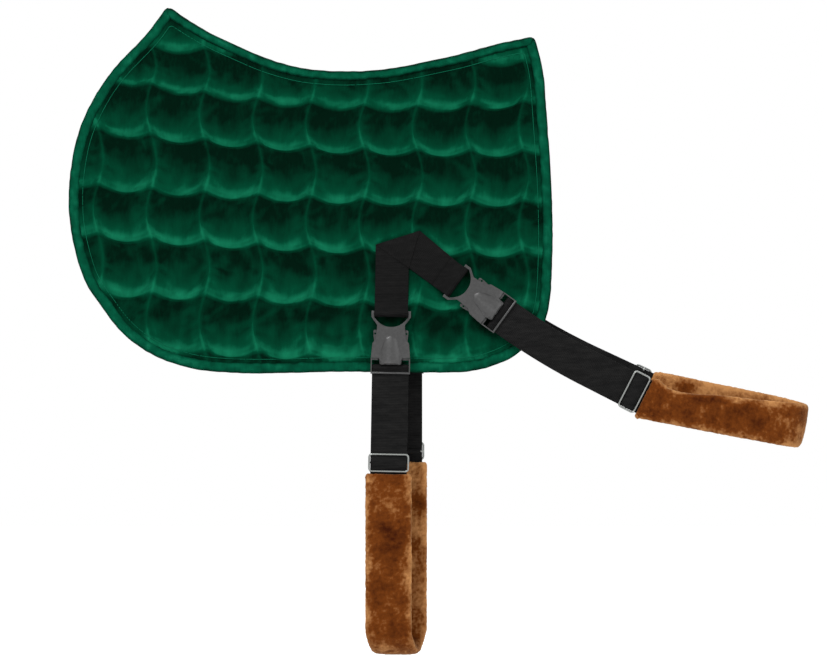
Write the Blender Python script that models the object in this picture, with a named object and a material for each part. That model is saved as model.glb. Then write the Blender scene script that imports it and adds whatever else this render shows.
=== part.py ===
"""Training saddle pad with a belly band and a hindquarter band.

The quilted pad is folded over its spine. The horse faces -X, its left side is at -Y and +Z is up. The origin
is under the ridge at the dip of the spine, where the horse's back carries the pad. Units are metres.
"""

import math

import bmesh
import bpy
from mathutils import Matrix, Vector

MM = 0.001
GAP = 0.3 * MM
TUCK = 0.05 * MM
SIDES = ((-1, "left"), (1, "right"))

# Pad outline, in millimetres from the top of the spine at its dip
TOP_EDGE_MM = [
    (-236.7, 88.0), (-213.3, 71.3), (-177.6, 50.0), (-141.9, 33.3), (-106.1, 18.0), (-70.7, 7.3),
    (-41.9, 2.3), (0.0, 0.0), (47.2, 2.5), (82.7, 7.9), (118.7, 15.5), (154.3, 23.3), (201.9, 36.4),
    (253.3, 47.0),
]
REAR_EDGE_MM = [
    (260.0, 20.0), (266.1, -11.3), (270.9, -75.3), (275.7, -146.9), (277.6, -217.5), (276.0, -279.3),
    (272.0, -317.5), (262.0, -345.0), (235.2, -374.5), (204.0, -392.0), (160.0, -402.5), (82.7, -403.2),
    (-8.5, -402.4), (-118.7, -404.7), (-185.3, -401.2), (-227.6, -391.7), (-265.7, -375.1),
    (-299.1, -348.7), (-325.3, -315.3), (-349.1, -277.5), (-365.7, -217.9), (-369.3, -167.3),
    (-365.7, -124.7), (-356.1, -82.0), (-337.2, -39.3), (-308.5, 3.5), (-265.7, 48.7),
]
TIP_RADIUS = 13.5 * MM
OUTLINE_STEPS = 2

# Pad thickness, measured outwards from the plane between the flaps
FLAP_GAP_HALF = 4.0 * MM
LINING = 1.5 * MM
WADDING = 6.0 * MM
COVER = 1.5 * MM
CROWN = 4.0 * MM
SEAM = FLAP_GAP_HALF + LINING + GAP + WADDING + GAP + COVER
BINDING_WIDTH = 12.0 * MM
BINDING_LAP = 0.6 * MM
BINDING_INSIDE = FLAP_GAP_HALF - BINDING_LAP
BINDING_OUTSIDE = SEAM + CROWN - 1.0 * MM
BINDING_ROUND = 4.0 * MM
RIDGE_DEPTH = 12.0 * MM
RIDGE_OUTSIDE = SEAM + CROWN - 0.2 * MM
FOLD_BELOW_DIP = 30.0 * MM
FOLD_CLEARANCE = 0.8 * MM
FOLD_AXIS_MARGIN = 0.2 * MM
FOLD_LEVEL = RIDGE_DEPTH - FOLD_BELOW_DIP
FOLD_AXIS_DEPTH = SEAM + CROWN + FOLD_AXIS_MARGIN
TIP_MARGIN = 3.0 * MM
TIP_STEPS = 6

# Quilting
QUILT_PITCH_X = 70.9 * MM
QUILT_FIRST_X = -400.0 * MM
QUILT_LEVELS_MM = [112.0, 39.5, -24.0, -84.0, -152.6, -218.4, -289.2, -363.0, -432.0, -500.0]
QUILT_SLOPES = [0.04, 0.04, 0.10, 0.067, 0.048, 0.05, 0.04, 0.04, 0.04, 0.04]
QUILT_BENDS = [0.0, 0.0, 0.25, 0.11, 0.07, 0.06, 0.0, 0.0, 0.0, 0.0]
QUILT_LEVEL_X = -115.0 * MM
QUILT_COLUMNS = 10
QUILT_ROWS = len(QUILT_LEVELS_MM) - 1
QUILT_SAG = 9.0 * MM
QUILT_BOW = 6.5 * MM
QUILT_STEPS = 4
QUILT_FULLNESS = 0.6

# Webbing
STRAP_WIDTH = 44.5 * MM
STRAP_THICKNESS = 2.0 * MM
STRAP_BACK = SEAM + 1.7 * MM
STRAP_FRONT = STRAP_BACK + STRAP_THICKNESS
LOOP_WALL = 1.8 * MM
LOOP_CLEARANCE = 0.3 * MM
STRAP_RAMP = 14.0 * MM
STRAP_TAIL = 24.0 * MM
STRAP_APEX_BACK = 78.6 * MM
STRAP_APEX_RISE = 4.5 * MM
STRAP_LEG_TOP = 91.0 * MM
SEAT_MARGIN = 0.4 * MM
BAND_WIDTH = 48.6 * MM
BAND_THICKNESS = 3.8 * MM
BAND_LAYER = 1.8 * MM

# Side-release buckle, measured along its axis from the female bar
BUCKLE_CLEARANCE = 0.8 * MM
BUCKLE_THICKNESS = 12.0 * MM
BUCKLE_DEPTH = SEAM + CROWN + BUCKLE_CLEARANCE + BUCKLE_THICKNESS / 2
FEMALE_BAR_RADIUS = 2.4 * MM
LOOP_HOLE = FEMALE_BAR_RADIUS + LOOP_CLEARANCE
LOOP_OUTSIDE = LOOP_HOLE + LOOP_WALL
SEAT_PAST_BAR = LOOP_OUTSIDE + 2.0 * MM
ARM_THICKNESS = 6.0 * MM
ARM_INSIDE = STRAP_WIDTH / 2 + 0.5 * MM
MALE_WALL = 1.5 * MM
MALE_SIDE_CLEARANCE = 0.4 * MM
BUCKLE_HALF_WIDTH = BAND_WIDTH / 2 + MALE_SIDE_CLEARANCE + MALE_WALL
NECK_HALF_WIDTH = BUCKLE_HALF_WIDTH - 8.4 * MM
NECK_AT = 15.0 * MM
ARM_CORNER_AT = 5.4 * MM
ARC_BOTTOM_AT = 18.4 * MM
WINDOW_END_AT = 40.0 * MM
MOUTH_AT = 59.7 * MM
THUMB_TIP_AT = 68.4 * MM
THUMB_HALF_WIDTH = BUCKLE_HALF_WIDTH - 10.9 * MM
PLATE = 2.5 * MM
CAVITY_WALL = 1.9 * MM
CAVITY_FROM = 21.0 * MM
PRONG_PIVOT_AT = 56.0 * MM
PRONG_PIVOT_X = BUCKLE_HALF_WIDTH - 9.2 * MM
PRONG_ROOT_RADIUS = 2.6 * MM
PRONG_THICKNESS = 5.4 * MM
PRONG_TIP_AT = 22.5 * MM
PRONG_TIP_X = BUCKLE_HALF_WIDTH - 3.0 * MM
PRONG_WIDTH = 4.6 * MM
MALE_CORE_FROM = 30.0 * MM
MALE_CORE_HALF_WIDTH = 5.0 * MM
MALE_DEPTH = 9.0 * MM
MALE_BACK = BUCKLE_DEPTH - 4.4 * MM
MALE_BAR_AT = 71.6 * MM
MALE_BAR_RADIUS = 1.6 * MM
OUTER_BAR_AT = 79.5 * MM
OUTER_BAR_RADIUS = 1.5 * MM
OUTER_BAR_DEPTH = BUCKLE_DEPTH + BAND_THICKNESS / 2 + 0.4 * MM + OUTER_BAR_RADIUS

# Tri-glide
WIRE_RADIUS = 1.3 * MM
GLIDE_HEIGHT = 25.3 * MM
GLIDE_CORNER = 4.0 * MM
GLIDE_SIDE_CLEARANCE = 0.35 * MM
GLIDE_LOOP_WALL = 1.6 * MM
GLIDE_LOOP_INSET = 2.2 * MM
GLIDE_BAR_DEPTH = (BUCKLE_DEPTH - BAND_THICKNESS / 2 - GAP - GLIDE_LOOP_WALL - LOOP_CLEARANCE - WIRE_RADIUS
                   - 0.2 * MM)
GLIDE_BAR_BEND = 1.6 * MM
SEWN_LOOP_TAIL = 20.0 * MM

# Fleece sleeves
SLEEVE_BORE_WIDTH = BAND_WIDTH + 2.0 * MM
SLEEVE_EDGE = 6.2 * MM
SLEEVE_WIDTH = SLEEVE_BORE_WIDTH + 2 * SLEEVE_EDGE
SLEEVE_THICKNESS = 16.0 * MM
SLEEVE_BORE_THICKNESS = 3.4 * MM
SLEEVE_BORE_PAST_MOUTH = 5.0 * MM
SLEEVE_SIDES = 14
SLEEVE_LEG_STEPS = 5
SLEEVE_FOLD_STEPS = 8
INNER_WEBBING = 1.8 * MM
MOUTH_PAST_GLIDE = 14.8 * MM

# Where the two bands start, from the top of the spine, and their degrees below +X
BELLY_BAR_X = 61.7 * MM
BELLY_BAR_Z = -323.6 * MM
BELLY_ANGLE = 90.0
NEAR_BELLY_LEAN = 1.0
HIND_BAR_X = 147.6 * MM
HIND_BAR_Z = -281.5 * MM
HIND_ANGLE = 36.0
FAR_BELLY_SHIFT = 17.0 * MM
FAR_HIND_TURN = -2.0
BAND_STEP = 12.0 * MM
LEFT_BELLY_GLIDE_AT = 199.1 * MM
RIGHT_BELLY_GLIDE_AT = 185.1 * MM
LEFT_HIND_GLIDE_AT = 279.5 * MM
RIGHT_HIND_GLIDE_AT = 280.5 * MM
GLIDE_AT = {
    "left_belly": LEFT_BELLY_GLIDE_AT, "right_belly": RIGHT_BELLY_GLIDE_AT,
    "left_hind": LEFT_HIND_GLIDE_AT, "right_hind": RIGHT_HIND_GLIDE_AT,
}
HIND_CURVE = 133.0 * MM
HIND_TURN = -9.0
BELLY_LEG = 211.0 * MM
HIND_LEG = 190.0 * MM
HIND_LEG_ANGLE = 10.5
HIND_MOUTH_ANGLES = (27.0, 25.0)
HIND_FOLD_ANGLE = 11.7
HIND_FOLD_RISE = 5.0 * MM
MOUTH_GAPS = {"left": GAP, "right": 0.8 * MM}

COLOURS = {
    "velvet": ((0.004, 0.085, 0.040, 1.0), 0.55, 0.0),
    "binding": ((0.005, 0.120, 0.062, 1.0), 0.50, 0.0),
    "wadding": ((0.80, 0.80, 0.76, 1.0), 0.95, 0.0),
    "lining": ((0.02, 0.022, 0.022, 1.0), 0.90, 0.0),
    "webbing": ((0.011, 0.011, 0.011, 1.0), 0.75, 0.0),
    "plastic": ((0.12, 0.12, 0.12, 1.0), 0.40, 0.0),
    "steel": ((0.42, 0.44, 0.43, 1.0), 0.28, 1.0),
    "fleece": ((0.30, 0.085, 0.012, 1.0), 0.95, 0.0),
}


def lifted(point):
    """A point in millimetres from the spine's top, as metres from the origin."""
    return Vector((point[0] * MM, point[1] * MM + RIDGE_DEPTH))


def start_scene():
    """Empties the scene and returns the part's collection."""
    for obj in list(bpy.data.objects):
        bpy.data.objects.remove(obj)
    collection = bpy.data.collections.new("training_saddle_pad")
    bpy.context.scene.collection.children.link(collection)
    return collection


def make_materials():
    """One Principled material for each finish."""
    made = {}
    for name, (colour, roughness, metallic) in COLOURS.items():
        material = bpy.data.materials.new(name)
        material.use_nodes = True
        shader = material.node_tree.nodes["Principled BSDF"]
        shader.inputs["Base Color"].default_value = colour
        shader.inputs["Roughness"].default_value = roughness
        shader.inputs["Metallic"].default_value = metallic
        made[name] = material
    return made


def smooth_run(points, steps):
    """Points on a smooth curve through the given ones, with steps stretches between neighbours."""
    padded = [2 * points[0] - points[1]] + points + [2 * points[-1] - points[-2]]
    run = []
    for i in range(1, len(padded) - 2):
        a, b, c, d = padded[i - 1:i + 3]
        for k in range(steps):
            t = k / steps
            run.append(0.5 * (2 * b + (c - a) * t + (2 * a - 5 * b + 4 * c - d) * t ** 2
                              + (3 * b - a - 3 * c + d) * t ** 3))
    return run + [points[-1]]


def rounded_corner(before, corner, after, radius, steps=5):
    """Arc points that round the corner between two straight neighbours."""
    into = (before - corner).normalized()
    out = (after - corner).normalized()
    half = into.angle(out) / 2
    reach = radius / math.tan(half)
    centre = corner + (into + out).normalized() * (radius / math.sin(half))
    first = corner + into * reach - centre
    last = corner + out * reach - centre
    turn = first.angle_signed(last)
    points = []
    for k in range(steps + 1):
        angle = -turn * k / steps
        points.append(centre + Matrix.Rotation(angle, 2) @ first)
    return points, reach


def pad_outline():
    """The flap's closed outline, clockwise from the wither tip, and the index of each tip's arc middle."""
    top = smooth_run([lifted(p) for p in TOP_EDGE_MM], OUTLINE_STEPS)
    rest = smooth_run([lifted(p) for p in [TOP_EDGE_MM[-1]] + REAR_EDGE_MM + [TOP_EDGE_MM[0]]], OUTLINE_STEPS)
    wither, cantle = top[0], top[-1]
    wither_arc, wither_reach = rounded_corner(rest[-3], wither, top[2], TIP_RADIUS, TIP_STEPS)
    cantle_arc, cantle_reach = rounded_corner(top[-3], cantle, rest[2], TIP_RADIUS, TIP_STEPS)

    def clear(points):
        kept = [p for p in points if (p - wither).length > wither_reach + TIP_MARGIN]
        return [p for p in kept if (p - cantle).length > cantle_reach + TIP_MARGIN]

    top = clear(top)
    rest = clear(rest)
    middle = len(wither_arc) // 2
    points = wither_arc[middle:] + top + cantle_arc + rest + wither_arc[:middle]
    cantle_index = len(wither_arc[middle:]) + len(top) + len(cantle_arc) // 2
    return points, cantle_index


def inset(points, distance):
    """The closed outline moved inwards, for an outline that runs clockwise."""
    count = len(points)
    moved = []
    for i, point in enumerate(points):
        before = (point - points[i - 1]).normalized()
        after = (points[(i + 1) % count] - point).normalized()
        tangent = (before + after).normalized()
        normal = Vector((tangent.y, -tangent.x))
        stretch = max(0.5, normal.dot(Vector((after.y, -after.x))))
        moved.append(point + normal * distance / stretch)
    return moved


def clipped(points, height, keep_above):
    """The part of an outline above or below a level."""
    sign = 1 if keep_above else -1
    result = []
    for i, here in enumerate(points):
        last = points[i - 1]
        inside_here = sign * (here.y - height) >= 0
        inside_last = sign * (last.y - height) >= 0
        if inside_here != inside_last:
            share = (height - last.y) / (here.y - last.y)
            result.append(last.lerp(here, share))
        if inside_here:
            result.append(here)
    return result


def mesh_object(name, mesh, matrix=None):
    """A new object in the part's collection, with its place in its mesh."""
    obj = bpy.data.objects.new(name, mesh)
    PART.objects.link(obj)
    if matrix is not None:
        mesh.transform(matrix)
    return obj


def extruded(name, outlines, half_depth, rounding=0.0, matrix=None):
    """A flat outline in XY, with any holes, as a closed solid that reaches half_depth to each side in Z."""
    curve = bpy.data.curves.new(name, "CURVE")
    curve.dimensions = "2D"
    curve.fill_mode = "BOTH"
    curve.extrude = half_depth - rounding
    if rounding:
        curve.bevel_depth = rounding
        curve.bevel_resolution = 1
        curve.offset = -rounding
    for outline in outlines:
        spline = curve.splines.new("POLY")
        spline.points.add(len(outline) - 1)
        for point, place in zip(spline.points, outline):
            point.co = (place[0], place[1], 0, 1)
        spline.use_cyclic_u = True
    drawn = bpy.data.objects.new(name, curve)
    PART.objects.link(drawn)
    obj = solid_from(drawn, name)
    if matrix is not None:
        obj.data.transform(matrix)
        obj.data.update()
    return obj


def solid_from(drawn, name):
    """Turns a curve object into a welded mesh object and removes the curve."""
    bpy.context.view_layer.update()
    evaluated = drawn.evaluated_get(bpy.context.evaluated_depsgraph_get())
    mesh = bpy.data.meshes.new_from_object(evaluated)
    mesh.transform(drawn.matrix_world)
    bpy.data.objects.remove(drawn)
    work = bmesh.new()
    work.from_mesh(mesh)
    bmesh.ops.remove_doubles(work, verts=work.verts, dist=0.00001)
    bmesh.ops.recalc_face_normals(work, faces=work.faces)
    work.to_mesh(mesh)
    work.free()
    return mesh_object(name, mesh)


UPRIGHT = Matrix.Rotation(math.radians(90), 4, "X")


def slab(name, outlines, near, far, rounding=0.0):
    """An outline in X and Z as a solid between two distances from the middle plane, near and far in Y."""
    middle = Matrix.Translation((0, (near + far) / 2, 0))
    return extruded(name, outlines, abs(far - near) / 2, rounding, middle @ UPRIGHT)


def combine(target, other, operation):
    """Joins or cuts one solid with another and removes the second one."""
    modifier = target.modifiers.new(operation.lower(), "BOOLEAN")
    modifier.operation = operation
    modifier.solver = "EXACT"
    modifier.object = other
    bpy.context.view_layer.update()
    evaluated = target.evaluated_get(bpy.context.evaluated_depsgraph_get())
    mesh = bpy.data.meshes.new_from_object(evaluated)
    target.modifiers.clear()
    target.data = mesh
    bpy.data.objects.remove(other)
    return target


def cylinder(name, radius, length, centre, axis, sides=12):
    """A round bar with its middle at centre."""
    work = bmesh.new()
    bmesh.ops.create_cone(work, cap_ends=True, segments=sides, radius1=radius, radius2=radius, depth=length)
    mesh = bpy.data.meshes.new(name)
    work.to_mesh(mesh)
    work.free()
    turn = Vector((0, 0, 1)).rotation_difference(Vector(axis)).to_matrix().to_4x4()
    return mesh_object(name, mesh, Matrix.Translation(centre) @ turn)


def finish(obj, material, parent, smooth=True):
    """Gives a piece its material, its shading and its parent."""
    obj.data.materials.clear()
    obj.data.materials.append(MATERIALS[material])
    if smooth:
        obj.data.shade_smooth()
        obj.data.set_sharp_from_angle(angle=math.radians(35))
    bpy.context.view_layer.update()
    origin = parent.matrix_world.translation.copy()
    obj.data.transform(Matrix.Translation(-origin))
    obj.location = origin
    bpy.context.view_layer.update()
    obj.parent = parent
    obj.matrix_parent_inverse = parent.matrix_world.inverted()
    return obj


def empty(name, place, parent=None):
    """An empty on a joint's axis."""
    made = bpy.data.objects.new(name, None)
    PART.objects.link(made)
    made.location = place
    bpy.context.view_layer.update()
    if parent:
        made.parent = parent
        made.matrix_parent_inverse = parent.matrix_world.inverted()
        bpy.context.view_layer.update()
    return made


# Pad

def at_row(values, v):
    """A value between two seams of the quilting."""
    row = min(int(v), QUILT_ROWS - 1)
    return values[row] + (values[row + 1] - values[row]) * (v - row)


def quilt_place(u, v):
    """X, Z and crown height at u columns and v rows of the quilting."""
    x = QUILT_FIRST_X + QUILT_PITCH_X * u - QUILT_BOW * math.sin(math.pi * v)
    level, slope, bend = at_row(QUILT_LEVELS_MM, v), at_row(QUILT_SLOPES, v), at_row(QUILT_BENDS, v)
    past = x - QUILT_LEVEL_X
    z = level * MM - slope * past + bend * past * past - QUILT_SAG * abs(math.sin(math.pi * u))
    fullness = abs(math.sin(math.pi * u)) * abs(math.sin(math.pi * v))
    return x, z, CROWN * fullness ** QUILT_FULLNESS


def quilted_slab(name, side, inside, seam):
    """The quilting over the whole pad: crowns outside, flat inside."""
    columns = QUILT_COLUMNS * QUILT_STEPS
    rows = QUILT_ROWS * QUILT_STEPS
    work = bmesh.new()
    bmesh.ops.create_grid(work, x_segments=columns, y_segments=rows, size=0.5)
    for vert in work.verts:
        u = (vert.co.x + 0.5) * QUILT_COLUMNS
        v = (0.5 - vert.co.y) * QUILT_ROWS
        x, z, crown = quilt_place(round(u * QUILT_STEPS) / QUILT_STEPS, round(v * QUILT_STEPS) / QUILT_STEPS)
        vert.co = (x, side * (seam + crown), z)
    rim = [edge for edge in work.edges if edge.is_boundary]
    grown = bmesh.ops.extrude_edge_only(work, edges=rim)["geom"]
    for vert in [item for item in grown if isinstance(item, bmesh.types.BMVert)]:
        vert.co.y = side * inside
    back = [item for item in grown if isinstance(item, bmesh.types.BMEdge) and item.is_boundary]
    bmesh.ops.contextual_create(work, geom=back)
    bmesh.ops.recalc_face_normals(work, faces=work.faces)
    mesh = bpy.data.meshes.new(name)
    work.to_mesh(mesh)
    work.free()
    return mesh_object(name, mesh)


def quilted(name, side, outline, inside, seam):
    """The quilting cut to an outline."""
    quilt = quilted_slab(name, side, inside, seam)
    cutter = slab("outline_cutter", [outline], side * (inside - 5 * MM), side * (seam + 5 * CROWN))
    return combine(quilt, cutter, "INTERSECT")


def pull_in(path, index, toward):
    """The path with one end drawn back by the gap that touching pieces keep."""
    step = (path[index + toward] - path[index]).normalized()
    moved = list(path)
    moved[index] = path[index] + step * GAP
    return moved


def strap_outline(belly, hind, past, margin=0.0):
    """The V strap's flat outline: two legs that end a distance past their bars, and a margin all round."""
    half = STRAP_WIDTH / 2 + margin
    down = Vector((math.cos(belly[2]), -math.sin(belly[2])))
    away = Vector((math.cos(hind[2]), -math.sin(hind[2])))
    left = Vector((down.y, -down.x))
    upper = Vector((-away.y, away.x))
    belly_bar, hind_bar = Vector(belly[:2]), Vector(hind[:2])
    belly_end, hind_end = belly_bar + down * past, hind_bar + away * past
    inner_a, inner_b = belly_end - left * half, hind_end - upper * half
    inner = crossing(inner_a, down, inner_b, away)
    corner = belly_bar + left * half - down * (STRAP_LEG_TOP + margin)
    apex = hind_bar + upper * (half + STRAP_APEX_RISE) - away * (STRAP_APEX_BACK + margin)
    return [belly_end + left * half, corner, apex, hind_end + upper * half, inner_b, inner, inner_a]


def crossing(point_a, way_a, point_b, way_b):
    """Where two lines of the flat meet."""
    across = way_a.x * way_b.y - way_a.y * way_b.x
    gap = point_b - point_a
    return point_a + way_a * ((gap.x * way_b.y - gap.y * way_b.x) / across)


def arc_points(centre, radius, first, last, steps):
    """Points along an arc, with its ends at two angles in degrees."""
    points = []
    for k in range(steps + 1):
        angle = math.radians(first + (last - first) * k / steps)
        points.append((centre[0] + radius * math.cos(angle), centre[1] + radius * math.sin(angle)))
    return points


def loop_profile():
    """The V strap's end from its side: x along the leg, y outwards from the middle plane, with the bar's hole."""
    centre = (0.0, BUCKLE_DEPTH)
    folded = STRAP_FRONT + STRAP_THICKNESS
    inside = STRAP_BACK + TUCK
    outer = [(-STRAP_RAMP - STRAP_TAIL, inside), (-STRAP_RAMP + TUCK, inside)]
    outer += arc_points(centre, LOOP_OUTSIDE, -115, 100, 12)
    outer += [(-STRAP_RAMP * 0.75, folded + 1.2 * MM), (-STRAP_RAMP - 4 * MM, folded),
              (-STRAP_RAMP - STRAP_TAIL, folded)]
    hole = arc_points(centre, LOOP_HOLE, 0, 330, 11)
    return [outer, hole]


def across_leg(place, side):
    """Turns a side profile (x along the leg, y outwards) to its place on a leg."""
    return on_plan(place, side) @ SIDEWAYS


def v_strap(side, name, belly, hind, parent):
    """One V strap with the sewn loop at the end of each leg."""
    strap = slab(name, [strap_outline(belly, hind, -STRAP_RAMP)], side * STRAP_BACK, side * STRAP_FRONT)
    for place in (belly, hind):
        loop = extruded("loop", loop_profile(), STRAP_WIDTH / 2 - TUCK, 0.0, across_leg(place, side))
        strap = combine(strap, loop, "UNION")
    return finish(strap, "webbing", parent)


def build_flaps(root, flap_empties, straps):
    """Covers, wadding, linings, bindings and the ridge."""
    outline, cantle = pad_outline()
    inner = inset(outline, BINDING_WIDTH)
    filling = inset(outline, BINDING_WIDTH + GAP)
    closed_outer = outline + [outline[0]]
    closed_inner = inner + [inner[0]]
    last = len(closed_outer) - 1
    middle = (cantle + last) // 2
    ridge_outer = pull_in(closed_outer[:cantle + 1], 0, 1)
    ridge_inner = pull_in(closed_inner[:cantle + 1], 0, 1)
    ridge_outer = pull_in(ridge_outer, -1, -1)
    ridge_inner = pull_in(ridge_inner, -1, -1)
    ridge = slab("ridge_binding", [ridge_outer + ridge_inner[::-1]], -RIDGE_OUTSIDE, RIDGE_OUTSIDE,
                 BINDING_ROUND)
    finish(ridge, "binding", root)
    for side, word in SIDES:
        flap = flap_empties[word]
        above = clipped(filling, FOLD_LEVEL + FOLD_CLEARANCE, True)
        below = clipped(filling, FOLD_LEVEL - FOLD_CLEARANCE, False)
        lining_out = FLAP_GAP_HALF + LINING
        wadding_in = lining_out + GAP
        wadding_out = wadding_in + WADDING
        cover_in = wadding_out + GAP
        panel = quilted(word + "_spine_panel", side, above, FLAP_GAP_HALF, SEAM)
        finish(panel, "velvet", root)
        lining = slab(word + "_flap_lining", [below], side * FLAP_GAP_HALF, side * lining_out)
        finish(lining, "lining", flap)
        wadding = slab(word + "_flap_wadding", [below], side * wadding_in, side * wadding_out)
        finish(wadding, "wadding", flap)
        cover = quilted(word + "_flap_cover", side, below, cover_in, SEAM)
        seat_outline = strap_outline(*straps[word], SEAT_PAST_BAR, SEAT_MARGIN)
        seat = slab("strap_seat", [seat_outline], side * (STRAP_BACK - GAP), side * (STRAP_BACK + 3 * CROWN))
        cover = combine(cover, seat, "DIFFERENCE")
        finish(cover, "velvet", flap)
        lower = clipped(closed_outer[cantle:] + closed_inner[cantle:][::-1], FOLD_LEVEL - FOLD_CLEARANCE, False)
        binding = slab(word + "_flap_binding", [lower], side * BINDING_INSIDE, side * BINDING_OUTSIDE,
                       BINDING_ROUND)
        finish(binding, "binding", flap)
        for where, first, end in (("rear", cantle, middle), ("front", middle, last)):
            outer_run = closed_outer[first:end + 1]
            inner_run = closed_inner[first:end + 1]
            tip, toward = (0, 1) if where == "rear" else (-1, -1)
            outer_run = pull_in(outer_run, tip, toward)
            inner_run = pull_in(inner_run, tip, toward)
            run = clipped(outer_run + inner_run[::-1], FOLD_LEVEL + FOLD_CLEARANCE, True)
            piece = slab(f"{word}_{where}_binding", [run], side * BINDING_INSIDE, side * BINDING_OUTSIDE,
                         BINDING_ROUND)
            finish(piece, "binding", root)
    return outline


# Buckles

def on_plan(place, side, depth=0.0):
    """Turns a plan (x along the band, y across it) to its place on a band, at a distance from the middle plane."""
    x, z, angle = place
    way = Vector((math.cos(angle), 0, -math.sin(angle)))
    out = Vector((0, side, 0))
    turned = Matrix((way, out.cross(way), out)).transposed().to_4x4()
    return Matrix.Translation((x, side * depth, z)) @ turned


def plan_slab(name, outlines, near, far, rounding=0.0):
    """A plan outline as a solid between two distances from the middle plane, in the band's own frame."""
    return extruded(name, outlines, (far - near) / 2, rounding, Matrix.Translation((0, 0, (near + far) / 2)))


def put(obj, place, side):
    """Moves a piece from the band's own frame to its place on the band."""
    obj.data.transform(on_plan(place, side))
    obj.data.update()
    return obj


SIDEWAYS = Matrix(((1, 0, 0, 0), (0, 0, -1, 0), (0, 1, 0, 0), (0, 0, 0, 1)))


def mirrored(half):
    """A closed plan outline from its half on the +Y side, which starts and ends at the middle."""
    other = [(x, -y) for x, y in half[::-1] if y > 0]
    return half + other


def band_bar(name, at, depth, radius, half_length, sides=12):
    """A round bar across the band."""
    return cylinder(name, radius, 2 * half_length, (at, 0, depth), (0, 1, 0), sides)


def buckle_female(name, place, side, parent):
    """Female half: bar, arms, the hollow body with a window at each side and the thumb ramp in front."""
    low = BUCKLE_DEPTH - BUCKLE_THICKNESS / 2
    high = BUCKLE_DEPTH + BUCKLE_THICKNESS / 2
    arc = []
    for k in range(7):
        share = k / 6
        at = ARC_BOTTOM_AT - (ARC_BOTTOM_AT - ARM_CORNER_AT) * share ** 2.4
        arc.append((at, ARM_INSIDE * share))
    shell = mirrored(arc + [
        (NECK_AT, NECK_HALF_WIDTH + 0.6 * MM), (WINDOW_END_AT - 6 * MM, NECK_HALF_WIDTH + 1.6 * MM),
        (WINDOW_END_AT, BUCKLE_HALF_WIDTH - 2 * MM), (MOUTH_AT - 8 * MM, BUCKLE_HALF_WIDTH - 0.8 * MM),
        (MOUTH_AT, BUCKLE_HALF_WIDTH - 0.2 * MM), (MOUTH_AT, 0.0)])
    body = plan_slab(name, [shell], low, high)
    arms = mirrored(arc + [
        (-FEMALE_BAR_RADIUS - 0.4 * MM, ARM_INSIDE), (-FEMALE_BAR_RADIUS - 0.4 * MM, BUCKLE_HALF_WIDTH),
        (ARM_CORNER_AT, BUCKLE_HALF_WIDTH), (NECK_AT + 2 * MM, NECK_HALF_WIDTH),
        (CAVITY_FROM - 1 * MM, NECK_HALF_WIDTH), (CAVITY_FROM - 1 * MM, 0.0)])
    arm_piece = plan_slab("arms", [arms], BUCKLE_DEPTH - ARM_THICKNESS / 2, BUCKLE_DEPTH + ARM_THICKNESS / 2)
    thumb = mirrored([
        (WINDOW_END_AT - 8 * MM, 0.0), (WINDOW_END_AT - 6 * MM, 5 * MM), (MOUTH_AT - 12 * MM, 11 * MM),
        (MOUTH_AT + 1 * MM, THUMB_HALF_WIDTH), (THUMB_TIP_AT - 2.5 * MM, THUMB_HALF_WIDTH - 4 * MM),
        (THUMB_TIP_AT, 5 * MM), (THUMB_TIP_AT, 0.0)])
    cut_half = BUCKLE_HALF_WIDTH + 4 * MM
    wall_start = BUCKLE_HALF_WIDTH - 2 * MM - CAVITY_WALL
    cavity = mirrored([
        (CAVITY_FROM, 0.0), (CAVITY_FROM, cut_half), (WINDOW_END_AT, cut_half), (WINDOW_END_AT, wall_start),
        (MOUTH_AT + 1 * MM, BUCKLE_HALF_WIDTH - 0.2 * MM - CAVITY_WALL), (MOUTH_AT + 1 * MM, 0.0)])
    hollow = plan_slab("cavity", [cavity], low + PLATE, high - PLATE)
    body = combine(body, hollow, "DIFFERENCE")
    ramp = plan_slab("thumb", [thumb], high - PLATE, high + 1 * MM)
    body = combine(body, ramp, "UNION")
    body = combine(body, arm_piece, "UNION")
    bar = band_bar("bar", 0, BUCKLE_DEPTH, FEMALE_BAR_RADIUS, ARM_INSIDE + 1.5 * MM)
    body = combine(body, bar, "UNION")
    return finish(put(body, place, side), "plastic", parent)


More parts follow.
